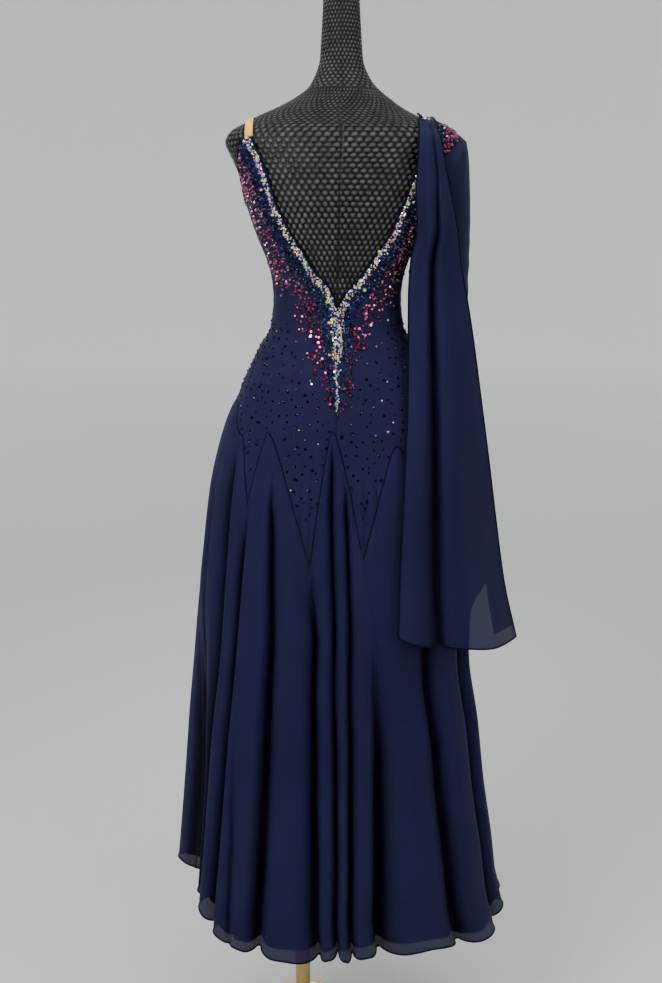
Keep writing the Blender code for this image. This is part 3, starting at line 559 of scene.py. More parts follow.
def cloth_finish(name, colour, roughness, sheen, thread, relief, opacity=1.0):
    """Woven cloth: two crossed waves a thread apart and a fine crepe grain, on the piece's UVs. A
    point attribute darkens the colour and takes away the sheen inside deep folds: painted shade."""
    made, shader, place = new_finish(name)
    in_fold = add_node(shader, "Attribute", {}, attribute_name="in_fold")["Fac"]
    # Painted shade: inside deep folds the colour falls to 0.15 of itself and the sheen to nothing.
    light, fuzz = (
        add_node(shader, "MapRange", {"Value": in_fold, "To Min": most, "To Max": least})["Result"]
        for most, least in ((1.0, 0.15), (sheen, 0.0))
    )
    shades = {0: tinted(shader, place, colour, 0.10, 9.0), "Scale": light}
    wave = {"Scale": 2 * math.pi / (20 * thread), "Distortion": 0.6, "Vector": place["UV"]}
    crossed = [add_node(shader, "TexWave", wave, bands_direction=way)["Fac"] for way in ("X", "Y")]
    weave = add_node(shader, "Math", dict(enumerate(crossed)), operation="ADD")[0]
    grain = {"Scale": 0.35 / thread, "Detail": 2.0, "Vector": place["Object"]}
    both = {0: weave, 1: add_node(shader, "TexNoise", grain)["Fac"]}
    height = add_node(shader, "Math", both, operation="ADD")[0]
    bump = {"Strength": relief, "Distance": thread / 2, "Height": height}
    look = {
        "Base Color": add_node(shader, "VectorMath", shades, operation="SCALE")["Vector"],
        "Normal": add_node(shader, "Bump", bump)["Normal"],
        "Roughness": roughness,
        "Specular IOR Level": 0.06,
        "Specular Tint": (0.65, 0.68, 1.0, 1),
        "Sheen Weight": fuzz,
        "Sheen Roughness": 0.45,
        "Sheen Tint": (0.55, 0.58, 1.0, 1),
        "Alpha": opacity,
    }
    fill(shader, look)
    return made


def satin_finish(name, colour):
    """Satin with a fine rib across it."""
    made, shader, place = new_finish(name)
    rib = {"Scale": 600.0, "Vector": place["UV"]}
    height = add_node(shader, "TexWave", rib, bands_direction="X")["Fac"]
    bump = {"Strength": 0.15, "Distance": 0.0002, "Height": height}
    look = {
        "Base Color": tinted(shader, place, colour, 0.08, 60.0),
        "Normal": add_node(shader, "Bump", bump)["Normal"],
        "Roughness": 0.38,
        "Specular IOR Level": 0.3,
    }
    fill(shader, look)
    return made


def leather_finish(name, colour):
    """Black embossed leatherette with a fine grain. A staggered pattern of oval scales lies on the
    UVs, whose whole numbers are the scales' middles: the UVs are turned to the two slanting
    families of rows, cut to fractions and turned back, and the distance from the middle makes grey
    crowns, a painted highlight, and black grooves, painted shade. The attribute seam is black where
    the cover is sewn."""
    made, shader, place = new_finish(name)

    def turned(vector, degrees, scale):
        turn = {"Rotation": (0, 0, math.radians(degrees)), "Scale": (scale, scale, 1)}
        return add_node(shader, "Mapping", {"Vector": vector, **turn})["Vector"]

    def combined(operation, vector, other=(0, 0, 0)):
        return add_node(shader, "VectorMath", {0: vector, 1: other}, operation=operation)

    def product(one, other):
        return add_node(shader, "Math", {0: one, 1: other}, operation="MULTIPLY")[0]

    fraction = combined("FRACTION", turned(place["UV"], 45, math.sqrt(2)))["Vector"]
    off = turned(combined("SUBTRACT", fraction, (0.5, 0.5, 0))["Vector"], -45, 1)
    oval = (0.65 * SCALE_OVAL[0], 0.65 * SCALE_OVAL[1], 1)
    distance = combined("LENGTH", combined("DIVIDE", off, oval)["Vector"])["Value"]
    dome = {"From Min": 1.15, "From Max": 0.15, "Value": distance}
    dome = add_node(shader, "MapRange", dome, interpolation_type="SMOOTHSTEP")["Result"]
    crown = product(dome, add_node(shader, "Attribute", {}, attribute_name="seam")["Fac"])
    blotches = add_node(shader, "TexNoise", {"Scale": 42.0, "Vector": place["Object"]})["Fac"]
    # Painted shade: the grooves take a fiftieth of the colour.
    groove = [0.02 * c for c in colour]
    grain = {"Scale": 700.0, "Detail": 4.0, "Vector": place["Object"]}
    grain = add_node(shader, "TexNoise", grain)["Fac"]
    rough = {"To Min": 0.26, "To Max": 0.42, "Value": grain}
    embossed = {"Strength": 0.8, "Distance": 0.0012, "Height": crown}
    embossed = add_node(shader, "Bump", embossed)["Normal"]
    fine = {"Strength": 0.25, "Distance": 0.0003, "Height": grain, "Normal": embossed}
    look = {
        # Painted light: the ramp makes the crowns grey, a painted highlight, and the grooves black,
        # painted shade.
        "Base Color": add_ramp(shader, product(crown, blotches), (0.04, groove), (0.68, colour)),
        "Normal": add_node(shader, "Bump", fine)["Normal"],
        "Roughness": add_node(shader, "MapRange", rough)["Result"],
        "Specular IOR Level": 0.16,
    }
    fill(shader, look)
    return made


def brass_finish(name, colour, roughness):
    """Polished brass with faint smears in its gloss."""
    made, shader, place = new_finish(name)
    smear = {"Scale": 25.0, "Detail": 5.0, "Vector": place["Object"]}
    smear = add_node(shader, "TexNoise", smear)["Fac"]
    rough = {"To Min": roughness * 0.7, "To Max": roughness * 1.5, "Value": smear}
    look = {
        "Base Color": tinted(shader, place, colour, 0.06, 14.0),
        "Roughness": add_node(shader, "MapRange", rough)["Result"],
        "Metallic": 1.0,
    }
    fill(shader, look)
    return made


def stone_finish(name, metallic, coat):
    """Foil-backed glass: the colour of each facet, with its painted highlight and shade, comes from
    the piece's own attribute.
    """
    made, shader, _ = new_finish(name)
    facet = add_node(shader, "Attribute", {}, attribute_name="stone_colour")
    look = {
        "Base Color": facet["Color"],
        "Metallic": metallic,
        "Roughness": 0.12,
        "Specular IOR Level": 0.10,
        "Coat Weight": coat,
        "Coat Roughness": 0.03,
    }
    fill(shader, look)
    return made


def studio_finish(name, colour):
    """Matt paper, darker on the floor than on the wall, a metre up."""
    made, shader, place = new_finish(name)
    noise = add_node(shader, "TexNoise", {"Scale": 0.8, "Vector": place["Object"]})["Fac"]
    split = add_node(shader, "SeparateXYZ", {"Vector": place["Object"]})
    height = {0: noise, 1: 0.06, 2: split["Z"]}
    height = add_node(shader, "Math", height, operation="MULTIPLY_ADD")[0]
    floor = [0.70 * c for c in colour]
    shades = add_ramp(shader, height, (0.0, floor), (1.0, colour))
    fill(shader, {"Base Color": shades, "Roughness": 0.9})
    return made


FINISHES = {}


def finish(name):
    """The material of that name, made from the sidebar's settings at its first use."""
    if name not in FINISHES:
        s = bpy.context.scene.dress_settings
        thread = [0.4 * c for c in s.lining]
        maker, *values = {
            "navy_crepe": (cloth_finish, s.navy, 0.55, 0.012, 0.0007, 0.30),
            "navy_chiffon": (cloth_finish, s.chiffon, 0.60, 0.015, 0.0005, 0.25, s.chiffon_opacity),
            "navy_lining": (cloth_finish, s.lining, 0.55, 0.01, 0.0006, 0.2),
            "navy_thread": (cloth_finish, thread, 0.6, 0.005, 0.0008, 0.4),
            "peach_satin": (satin_finish, s.strap),
            "black_leatherette": (leather_finish, s.cover),
            "brass": (brass_finish, s.brass, 0.22),
            "foiled_stones": (stone_finish, 0.85, 1.0),
            "glass_beads": (stone_finish, 0.0, 0.04),
            "studio_grey": (studio_finish, s.studio),
        }[name]
        FINISHES[name] = maker(name, *values)
    return FINISHES[name]


# Settings


def colour(name, description, default):
    return FloatVectorProperty(
        name=name, description=description, default=default, subtype="COLOR", min=0, max=1
    )


def length(name, description, default):
    return FloatProperty(
        name=name, description=description, default=default, subtype="DISTANCE", unit="LENGTH"
    )


class DressSettings(bpy.types.PropertyGroup):
    navy: colour("Bodice", "Colour of the crepe", (0.0120, 0.0113, 0.042))
    chiffon: colour("Chiffon", "Colour of the skirt and the float", (0.0122, 0.0115, 0.0435))
    lining: colour("Lining", "Colour of the skirt's lining", (0.0070, 0.0065, 0.026))
    strap: colour("Strap", "Colour of the shoulder strap", (1.0, 0.52, 0.055))
    cover: colour("Form cover", "Colour of the scales' crowns", (0.082, 0.084, 0.088))
    brass: colour("Brass", "Colour of the stand", (0.47, 0.33, 0.13))
    studio: colour("Studio", "Colour of the floor and the backdrop", (0.88, 0.90, 0.89))
    chiffon_opacity: FloatProperty(
        name="Chiffon opacity",
        description="How much a single layer of chiffon hides",
        default=0.955,
        min=0.3,
        max=1.0,
        subtype="FACTOR",
    )
    scale_width: FloatProperty(
        name="Scale width",
        description="Width of one embossed scale of the cover, as an angle round the form",
        default=math.radians(4.3),
        subtype="ANGLE",
        unit="ROTATION",
    )
    scale_height: length("Scale height", "Height of one embossed scale of the cover", 0.0088)
    scale_relief: length("Scale relief", "How far the scales stand out of their grooves", 0.0012)
    fold_columns: IntProperty(
        name="Columns a fold",
        description="Columns of faces across each fold of the skirt",
        default=26,
        min=6,
        max=60,
    )
    thread_radius: length("Rolled hem", "Radius of the rolled hem of the chiffon", 0.0015)
    binding_radius: length(
        "Binding", "Radius of the binding along the bodice's open edges", 0.0017
    )
    stone_size: length("Stone", "Radius of an ordinary stone", 0.0021)


# The skirt


def add_hem(name, paths):
    """The rolled hem of the cloth along each path."""
    radius = bpy.context.scene.dress_settings.thread_radius
    return add_tubes(name, paths, radius, finish("navy_thread"), 6)


def ripples(angle, z):
    """Soft upright ripples of the cloth where the yoke hangs free: cosines of the angle."""
    hanging = ease_in((1.165 - z) / 0.09)
    ripple = 0.5 + 0.5 * np.cos(np.radians(angle) * 78 + 2 * np.sin(np.radians(angle) * 5))
    return 0.0042 * hanging * ripple**1.5


def valley_angles(z):
    """The angle of every valley at each height, the first one again at the end, a turn on."""
    levels = np.array(VALLEY_LEVELS[::-1])
    rows = np.stack([read_table(levels, row[4::-1], z) for row in VALLEYS[:, :5]], axis=-1)
    return np.concatenate([rows, rows[..., :1] + 360], axis=-1)


def hollow(angle, z):
    """The side's hollow: its depth times a bell of the angle, deepening down the skirt."""
    middle, half_width, depth, start_z, full_z = HOLLOW
    off = (np.mod(angle - middle + 180, 360) - 180) / half_width
    return depth * np.exp(-(off**2)) * ease_in((start_z - z) / (start_z - full_z))


def fold_inset(fold, share, z, drop):
    """How far the cloth lies inside the line of the crests. Across a fold it is the depth times one
    minus a squarish crest, (1 - |x|^p)^q with x from -1 to 1, and the valleys' floors are flat.
    The depth passes smoothly from one valley's to the other's, and grows with the drop below the
    yoke and down the skirt."""
    ends = (fold, (fold + 1) % len(VALLEYS))
    blend = ease_in(share)
    depth = 0.0
    for valley, weight in zip(ends, (1 - blend, blend)):
        grown = ease_in((drop - VALLEYS[valley, 6]) / VALLEYS[valley, 7])
        depth = depth + weight * VALLEYS[valley, 5] * grown
    fallen = 0.60 + 0.40 * ease_in((1.1 - z) / 0.7)
    x = np.abs(2 * share - 1) / FOLD_FLOOR
    crest = np.clip(1 - x**FOLD_SQUARENESS, 0, 1) ** FOLD_EDGE
    return depth * fallen * (1 - crest)


def skirt_points(fold, share, height, inset=None, hem_rise=0.0):
    """Points and body normals of the skirt, and their depths in the folds. height is the share of
    the way up from the hem to the yoke's edge, and inset(z, angle) a further distance inwards."""
    at_top = valley_angles(VALLEY_LEVELS[0])
    top_angle = at_top[fold] * (1 - share) + at_top[fold + 1] * share
    top_z = yoke_edge_height(top_angle) - UNDER_YOKE
    hem_z = np.interp(np.mod(top_angle, 360), HEM[:, 0], HEM[:, 1]) + hem_rise
    hem_z = hem_z - HEM_DIP * (np.abs(2 * share - 1) ** 3 - 0.3)
    z = hem_z + (top_z - hem_z) * height
    rows = valley_angles(z)
    low = np.take_along_axis(rows, fold[..., None], axis=-1)[..., 0]
    high = np.take_along_axis(rows, fold[..., None] + 1, axis=-1)[..., 0]
    angle = low * (1 - share) + high * share
    drop = top_z - z
    puff = PUFF * (1 - np.exp(-drop / PUFF_OVER))
    rippled = ripples(top_angle, top_z) * np.exp(-drop / 0.03)
    soft = ease_in(drop / UNEVEN_OVER)
    uneven = soft * (
        waves(3, angle, z, (9, 16), 0.0022, 1.3) + waves(5, angle, z, (28, 60), 0.0007, 0.8)
    )
    folded = fold_inset(fold, share, z, drop) + hollow(angle, z)
    lift = LIFT + puff + rippled + uneven - folded - (inset(z, angle) if inset else 0.0)
    return (*off_body(angle, z, lift), folded)


def fold_grid(first, last, columns, rows):
    """Fold numbers, shares across the fold and heights of a run of folds, as grids. The shares
    crowd towards the valleys, as half of one minus the cosine does."""
    share = 0.5 * (1 - np.cos(np.linspace(0, np.pi, columns + 1)))[:-1]
    folds = np.arange(first, last)
    fold = np.repeat(folds, columns)
    shares = np.tile(share, len(folds))
    return np.broadcast_arrays(fold[None] % len(VALLEYS), shares[None], rows[:, None])


def beside_left(angle):
    """1 at the wearer's left side, and 0 from 44 degrees away from its middle."""
    return ease_in((44 - np.abs(np.mod(angle - 4 + 180, 360) - 180)) / 20)


def lining_inset(z, angle):
    """The lining lies inside the skirt by a table, and further in at the wearer's left side."""
    plain = np.interp(z, LINING_ROWS[:, 0], LINING_ROWS[:, 1])
    at_side = np.interp(z, LINING_ROWS[:, 0], LINING_ROWS[:, 2])
    return plain + (at_side - plain) * beside_left(angle)


class DressSkirt(bpy.types.Operator):
    """Make the twelve chiffon gores and their rolled hem"""

    bl_idname = "dress.make_skirt"
    bl_label = "Skirt"

    def execute(self, context):
        settings = context.scene.dress_settings
        rows = np.linspace(0, 1, 84) ** 1.05
        hem_path, hem_normals = [], []
        for number, first in enumerate(GORE_VALLEYS, 1):
            last = GORE_VALLEYS[number % len(GORE_VALLEYS)]
            last = last + len(VALLEYS) * (last < first)
            fold, share, height = fold_grid(first, last, settings.fold_columns, rows)
            points, normal, depth = skirt_points(fold, share, height)
            hem_path.append(points[0])
            hem_normals.append(normal[0])
            edge = fold_grid(last - 1, last, 1, rows)
            closing, _, closing_depth = skirt_points(edge[0], edge[1] + 1.0, edge[2])
            points = np.concatenate([points, closing], axis=1)
            gore = add_grid(f"gore_{number:02d}", points, finish("navy_chiffon"))
            # The cloth in the valleys between the folds gets painted shade.
            add_painted_fold_shade(gore, np.concatenate([depth, closing_depth], axis=1))
            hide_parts(f"skirt_gore_{number:02d}")
        path, normal = np.concatenate(hem_path), np.concatenate(hem_normals)
        hem = add_hem("skirt_rolled_hem", [(path, normal, True)])
        return {"FINISHED"}


class DressLining(bpy.types.Operator):
    """Make the skirt's lining and its hem"""

    bl_idname = "dress.make_lining"
    bl_label = "Lining"

    def execute(self, context):
        top = LINING_ROWS[-1, 0]
        rows = np.linspace(0, 0.80, 44)
        fold, share, height = fold_grid(0, len(VALLEYS), 14, rows)
        around = valley_angles(0.330)[fold]
        plain, at_side = LINING_ABOVE_HEM
        above = plain + (at_side - plain) * beside_left(around)
        above = above + waves(11, around + 13 * share, 0.0, (7, 13), 0.0045, 1.0)
        points, normal, _ = skirt_points(fold, share, height, lining_inset, above)
        over = np.clip(points[..., 2] - top, 0, None)
        points[..., 2] -= over
        lining = add_grid("lining", points, finish("navy_lining"), wrap=True)
        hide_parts("skirt_lining")
        hem = add_hem("lining_hem", [(points[0], normal[0], True)])
        return {"FINISHED"}


# The form and its stand


def levels_by_length(sections, low, high, step):
    """Heights an equal length apart along the side of the body."""
    fine = np.linspace(low, high, 600)
    half_width = read_table(sections[:, 0], sections[:, 2], fine)
    length = np.concatenate([[0], np.cumsum(np.hypot(np.diff(fine), np.diff(half_width)))])
    wanted = np.linspace(0, length[-1], max(2, int(length[-1] / step) + 1))
    return np.interp(wanted, length, fine), wanted


def scale_relief(places):
    """Staggered oval domes: along each slanting family of rows, the share of the way between two
    scales goes from minus one to one. Half the sum and half the difference of the two shares are
    the way from a scale's middle, and its height is the root of one minus that distance squared,
    measured in the oval's half sizes."""
    along, back = (places[..., 0] + slant * places[..., 1] for slant in (1, -1))
    one, other = (2 * (place - np.floor(place)) - 1 for place in (along, back))
    off = ((one + other) / 2 / SCALE_OVAL[0]) ** 2 + ((one - other) / 2 / SCALE_OVAL[1]) ** 2
    return np.sqrt(np.clip(1 - off, 0, 1))


class DressFormCover(bpy.types.Operator):
    """Make the form's embossed cover with its centre-back seam"""

    bl_idname = "dress.make_form_cover"
    bl_label = "Form cover"

    def execute(self, context):
        settings = context.scene.dress_settings
        under, _ = levels_by_length(FORM_SECTIONS, FORM_LOW, COVER_FROM, COVER_STEP_BELOW)
        over, run = levels_by_length(FORM_SECTIONS, COVER_FROM, FORM_TOP, COVER_STEP)
        z_rows = np.concatenate([under[:-1], over])
        along = np.concatenate([under[:-1] - COVER_FROM, run])
        columns = [np.arange(15, 165, BACK_STEP), np.arange(165, 375, FRONT_STEP)]
        columns = np.concatenate(columns)
        angle, z = np.meshgrid(columns, z_rows)
        columns = np.append(columns, columns[0] + 360)
        on_neck = z_rows[:, None] > NECK_FROM
        count = round(360 / math.degrees(settings.scale_width))
        across = np.where(on_neck, 360 / (5 * count // 12), 360 / count)
        tall = settings.scale_height * np.where(on_neck, 1.4, 2.0)
        places = np.stack(np.broadcast_arrays(columns / across, along[:, None] / tall), axis=-1)
        seam = np.exp(-((np.radians(angle - 90) * 0.09 / SEAM_HALF_WIDTH) ** 2))
        shown = ease_in((z - 1.37) / 0.01) * ease_in((1.925 - z) / 0.004)
        relief = scale_relief(places)[:, :-1] * shown
        lift = settings.scale_relief * (relief - 1) * (1 - seam) - SEAM_DEPTH * seam
        points, _ = off_body(angle, z, lift, FORM_SECTIONS)
        cover = add_grid(
            "form_cover", points, finish("black_leatherette"), wrap=True, caps=True, places=places
        )
        sewn = cover.data.attributes.new("seam", "FLOAT", "POINT")
        sewn.data.foreach_set("value", ((1 - seam) * shown).astype(np.float32).ravel())
        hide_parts("dress_form")
        return {"FINISHED"}


def turned_points(profile, sides):
    """A profile of radii and heights turned round the stand's axis."""
    turn = np.linspace(0, 2 * np.pi, sides, endpoint=False)
    radius, z = profile[:, :1], profile[:, 1:] + 0 * turn
    return np.stack([radius * np.cos(turn), radius * np.sin(turn), z], axis=-1)


class DressStand(bpy.types.Operator):
    """Make the brass pole and its turned base"""

    bl_idname = "dress.make_stand"
    bl_label = "Stand"

    def execute(self, context):
        low, high = (np.array(corner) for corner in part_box("stand_pole"))
        radius = (high[0] - low[0]) / 2
        ring = 0.0012
        pole_profile = [(radius - ring, low[2]), (radius, low[2] + ring)]
        pole_profile += [(radius, z) for z in np.linspace(low[2] + 0.01, high[2] - 0.01, 20)]
        pole_profile += [(radius, high[2] - ring), (radius - ring, high[2])]
        points = turned_points(np.array(pole_profile), 72)
        pole = add_grid("pole", points, finish("brass"), wrap=True, caps=True)
        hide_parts("stand_pole")

        wide, _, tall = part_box("stand_base")[1]
        rim = 0.008
        edge = [
            (wide - rim + rim * math.cos(turn), tall - 2 * rim + rim * math.sin(turn))
            for turn in np.linspace(0, math.pi / 2, 9)
        ]
        dome_radii = np.linspace(wide - rim, radius + 0.004, 24)[1:]
        dome = [
            (r, tall - rim + (rim - 0.0002) * ease_in((wide - rim - r) / (wide - rim - radius)))
            for r in dome_radii
        ]
        base_profile = [(wide - 0.002, 0.0), (wide, 0.002), *edge, *dome]
        points = turned_points(np.array(base_profile), 120)
        base = add_grid("base", points, finish("brass"), wrap=True, caps=True)
        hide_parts("stand_base")
        return {"FINISHED"}


# The bodice


def edge_angle(table, z):
    return read_table(table[:, 0], table[:, 1], z)


def armhole_angle(z):
    """The armhole is an oval: its half angle at each height, nothing above or below it."""
    off = (z - ARMHOLE_MIDDLE) / ARMHOLE_HALF_HEIGHT
    return ARMHOLE_HALF_ANGLE * np.sqrt(np.clip(1 - off**2, 0, 1))


# Each panel: its name, the node that it stands for, its side angles, its top, and its two edges
PANELS = (
    (
        *("panel_back_left", "back_left", (0, 90), STRAP_FOOT),
        lambda z: np.where(z < ARM_LEFT[0, 0], 0.0, edge_angle(ARM_LEFT, z)),
        lambda z: edge_angle(NECK_LEFT, z),
    ),
    (
        *("panel_back_right", "back_right", (90, 180), SHOULDER_TOP),
        lambda z: edge_angle(NECK_RIGHT, z),
        lambda z: 180 - armhole_angle(z),
    ),
    (
        *("panel_front_right", "front_right", (180, 270), SHOULDER_TOP),
        lambda z: 180 + armhole_angle(z),
        lambda z: edge_angle(NECK_FRONT_RIGHT, z),
    ),
    (
        *("panel_front_left", "front_left", (270, 360), STRAP_FOOT),
        lambda z: edge_angle(NECK_FRONT_LEFT, z),
        lambda z: np.where(z < ARM_FRONT_LEFT[0, 0], 360.0, edge_angle(ARM_FRONT_LEFT, z)),
    ),
)


def bodice_lift(angle, z):
    """The cloth's outer face above the body: flat, with a groove at each of the four seams, the
    ripples of the yoke, and faint drag lines at the waist."""
    off_seam = np.abs(np.mod(angle + 45, 90) - 45)
    groove = 0.0006 * np.exp(-((np.radians(off_seam) * 0.1 / 0.0012) ** 2))
    drag = 0.0003 * np.exp(-(((z - 1.40) / 0.06) ** 2)) * np.sin(z * 340 + np.radians(angle) * 4)
    return LIFT - groove + ripples(angle, z) + drag


class DressBodice(bpy.types.Operator):
    """Make the four panels of the bodice with their share of the pointed yoke"""

    bl_idname = "dress.make_bodice"
    bl_label = "Bodice"

    def execute(self, context):
        for name, node, (start, end), top, left, right in PANELS:
            columns = np.concatenate([np.linspace(start, end, 91), YOKE_EDGE[:, 0]])
            columns = np.unique(columns[(columns >= start) & (columns <= end)])
            share = (columns - start) / (end - start)
            low = yoke_edge_height(np.clip(columns, start + 1e-6, end - 1e-6))
            way = np.linspace(0, 1, 30, endpoint=False)[:, None]
            yoke_z = low + (YOKE_LEVEL - low) * way
            upper_z, _ = levels_by_length(BODY_SECTIONS, YOKE_LEVEL, top, 0.0042)
            upper_z = upper_z[:, None]
            upper = left(upper_z) + (right(upper_z) - left(upper_z)) * share
            angle = np.concatenate([np.broadcast_to(columns, yoke_z.shape), upper])
            z = np.concatenate([yoke_z, np.broadcast_to(upper_z, upper.shape)])
            points, _ = off_body(angle, z, bodice_lift(angle, z))
            panel = add_grid(name, points, finish("navy_crepe"))
            thicken(panel, SECOND_SKIN)
            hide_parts(node)
        return {"FINISHED"}


def edge_path(tables, lift):
    """Points and normals along open edges. Each table is (rows, falling): its rows are read at
    equal shares of its length, from the top down where it falls."""
    angles, heights = [], []
    for table, falling in tables:
        row = np.linspace(0, len(table) - 1, 12 * len(table))
        places = np.arange(len(table), dtype=float)
        z, angle = (read_table(places, table[:, k], row) for k in (0, 1))
        angles.append(angle[::-1] if falling else angle)
        heights.append(z[::-1] if falling else z)
    angle, z = np.concatenate(angles), np.concatenate(heights)
    return off_body(angle, z, lift)


class DressBindings(bpy.types.Operator):
    """Make the narrow binding along the open edges of the bodice and at the cuff"""

    bl_idname = "dress.make_bindings"
    bl_label = "Bindings"

    def execute(self, context):
        settings = context.scene.dress_settings
        lift = LIFT - 0.0004
        back = edge_path([(NECK_LEFT, True), (NECK_RIGHT[1:], False)], lift)
        front = edge_path([(NECK_FRONT_RIGHT, True), (NECK_FRONT_LEFT[1:], False)], lift)
        arm = edge_path([(ARM_LEFT, True), (ARM_FRONT_LEFT[1:], False)], lift)
        paths = [(points, normal, False) for points, normal in (back, front, arm)]
        # A dark tube along the yoke's lower edge: the seam, with its painted shadow line.
        round_yoke = np.arange(0, 360, 0.5)
        edge_z = yoke_edge_height(round_yoke) + 0.0012
        seam, outward = off_body(round_yoke, edge_z, bodice_lift(round_yoke, edge_z) - 0.0002)
        thread = finish("navy_thread")
        yoke_seam_line = add_tubes("yoke_piping", [(seam, outward, True)], YOKE_SEAM_LINE_RADIUS, thread, 6)
        cuff, _ = sleeve_points(np.linspace(0, 2 * np.pi, 72, endpoint=False), CUFF)
        paths.append((cuff, np.broadcast_to((0.0, 0.0, 1.0), cuff.shape), True))
        binding = add_tubes("edge_binding", paths, settings.binding_radius, thread)
        return {"FINISHED"}


def shoulder_height(angle, x):
    """The height at which the form's surface has this x, found by halving."""
    low, high = np.full(angle.shape, STRAP_FOOT), np.full(angle.shape, 1.72)
    for _ in range(40):
        middle = (low + high) / 2
        outside = section_point(FORM_SECTIONS, angle, middle)[..., 0] > x
        low, high = np.where(outside, middle, low), np.where(outside, high, middle)
    return low


class DressStrap(bpy.types.Operator):
    """Make the satin strap over the left shoulder"""

    bl_idname = "dress.make_strap"
    bl_label = "Strap"

    def execute(self, context):
        low, high = (np.array(corner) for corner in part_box("shoulder_strap"))
        across = np.linspace(-1, 1, 9)
        x = (low[0] + high[0]) / 2 + STRAP_HALF_WIDTH * across
        reach = []
        for edge_x in x:
            angles = np.linspace(20, 60, 200)
            heights = shoulder_height(angles, np.full(angles.shape, edge_x))
            reach.append(angles[np.argmax(heights <= STRAP_FOOT + 0.0003)])
        share = np.linspace(-1, 1, 70)[:, None]
        angle = share * np.array(reach)
        z = shoulder_height(angle, np.broadcast_to(x, angle.shape))
        crown = 0.0018 + 0.0006 * (1 - across**4)
        points, _ = off_body(angle, z, crown, FORM_SECTIONS)
        strap = add_grid("strap", points, finish("peach_satin"))
        thicken(strap, 0.0010)
        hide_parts("shoulder_strap")
        return {"FINISHED"}


# The sleeve and the float


def sleeve_points(turn, level):
    """Level 0 is the cap, an oval on the bodice round the armhole, and whole levels above it are
    ovals with a row's outer and inner edge and half depth. Between 0 and 1 the two are blended.
    Over the sleeve's head a half sine of the level lifts the top."""
    turn, level = np.broadcast_arrays(turn, level)
    cap_angle = 180 - 1.08 * ARMHOLE_HALF_ANGLE * np.sin(turn)
    over = 1.08 + 0.20 * np.clip(np.cos(turn), 0, 1) ** 2
    cap_z = ARMHOLE_MIDDLE + over * ARMHOLE_HALF_HEIGHT * np.cos(turn)
    cap, cap_normal = off_body(cap_angle, cap_z, LIFT + CAP_LIFT)
    places = np.arange(1, len(SLEEVE_RINGS) + 1, dtype=float)
    outer_x, outer_z, inner_x, inner_z, depth = (
        read_table(places, SLEEVE_RINGS[:, k], np.maximum(level, 1.0)) for k in range(5)
    )
    x = (outer_x + inner_x) / 2 + (outer_x - inner_x) / 2 * np.cos(turn)
    z = (outer_z + inner_z) / 2 + (outer_z - inner_z) / 2 * np.cos(turn)
    ring = np.stack([x, depth * np.sin(turn), z], axis=-1)
    blend = np.clip(level, 0, 1)[..., None]
    points = cap * (1 - blend) + ring * blend
    head = SLEEVE_HEAD * np.clip(np.cos(turn), 0, 1) * np.sin(np.pi * np.clip(level / 2.6, 0, 1))
    points[..., 2] += head
    return points, cap_normal


class DressSleeve(bpy.types.Operator):
    """Make the long right sleeve with creases at the elbow and ease at its cap"""

    bl_idname = "dress.make_sleeve"
    bl_label = "Sleeve"

    def execute(self, context):
        turns = np.linspace(0, 2 * np.pi, 80, endpoint=False)
        levels = np.concatenate([np.linspace(CUFF, 1, 150), np.linspace(1, 0, 14)[1:]])
        u, v = np.meshgrid(turns, levels)

        def surface(turn, level):
            return sleeve_points(turn, level)[0]

        points = surface(u, v)
        normal = -surface_normals(surface, u, np.clip(v, 0.1, 8.95), 0.03, 0.04)
        elbow = np.exp(-(((v - 5.6) / 1.5) ** 2))
        inner_side = 0.5 - 0.5 * np.cos(u)
        creases = 0.0022 * elbow * (0.3 + 0.7 * inner_side) * np.sin(v * 11 + 1.4 * np.sin(u) + 0.8)
        ease = 0.0010 * np.exp(-(((v - 1.2) / 0.9) ** 2)) * np.cos(u * 13) * np.clip(v, 0, 1)
        soft = waves(11, np.degrees(u), v * 0.06, (2, 6), 0.0012, 0.25) * np.clip(v - 1, 0, 1)
        points = points + normal * (0.0004 + creases + ease + soft)[..., None]
        points = points[:, ::-1]
        sleeve = add_grid("sleeve_long", points, finish("navy_crepe"), wrap=True)
        thicken(sleeve, SECOND_SKIN)
        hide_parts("sleeve")
        return {"FINISHED"}


def float_points(share, level, inset, hem_rise):
    """Between its two edges the float bulges to the back, by share times one minus share. Its one
    deep fold is a depth times an exponential of the way from the fold's line. It is gathered into
    small pleats at the shoulder, and its hem dips between the corners."""
    places = np.arange(len(FLOAT_EDGES), dtype=float)
    last = places[-1]
    left, right = (
        np.stack([read_table(places, FLOAT_EDGES[:, k], level) for k in sides], axis=-1)
        for sides in ((0, 1, 2), (3, 4, 5))
    )
    flat = left + (right - left) * share[..., None]
    grown = ease_in(level / 6)
    bulge = FLOAT_BULGE * 4 * share * (1 - share) * np.clip(level / 6, 0, 1)
    line, depth, width = (read_table(FLOAT_FOLD[:, 0], FLOAT_FOLD[:, k], level) for k in (1, 2, 3))
    off = share - line
    crease = depth * np.exp(-((np.abs(off) / np.where(off < 0, 1.7 * width, width)) ** 1.3))
    pleats = 0.0016 * np.cos(2 * np.pi * 2.6 * share) * np.exp(-(((level - 1.4) / 1.9) ** 2))
    pleats = pleats * ease_in(level / 1.2)
    soft = waves(21, 360 * share, level * 0.07, (1, 4), 0.0018, 0.9) * grown
    near_hem = ease_in((level - last + 1.6) / 1.6)
    flare = 0.010 * near_hem * np.sin(3 * np.pi * share + 0.4)
    flat[..., 1] += bulge - crease + pleats + soft + flare - inset * np.clip(level, 0, 1)
    flat[..., 2] += near_hem * (hem_rise - 0.014 * np.sin(np.pi * share) ** 0.8)
    flat[..., 2] -= np.interp(level, (0, 1, 2, 3), (0.004, 0.009, 0.006, 0.0))
    return flat, crease


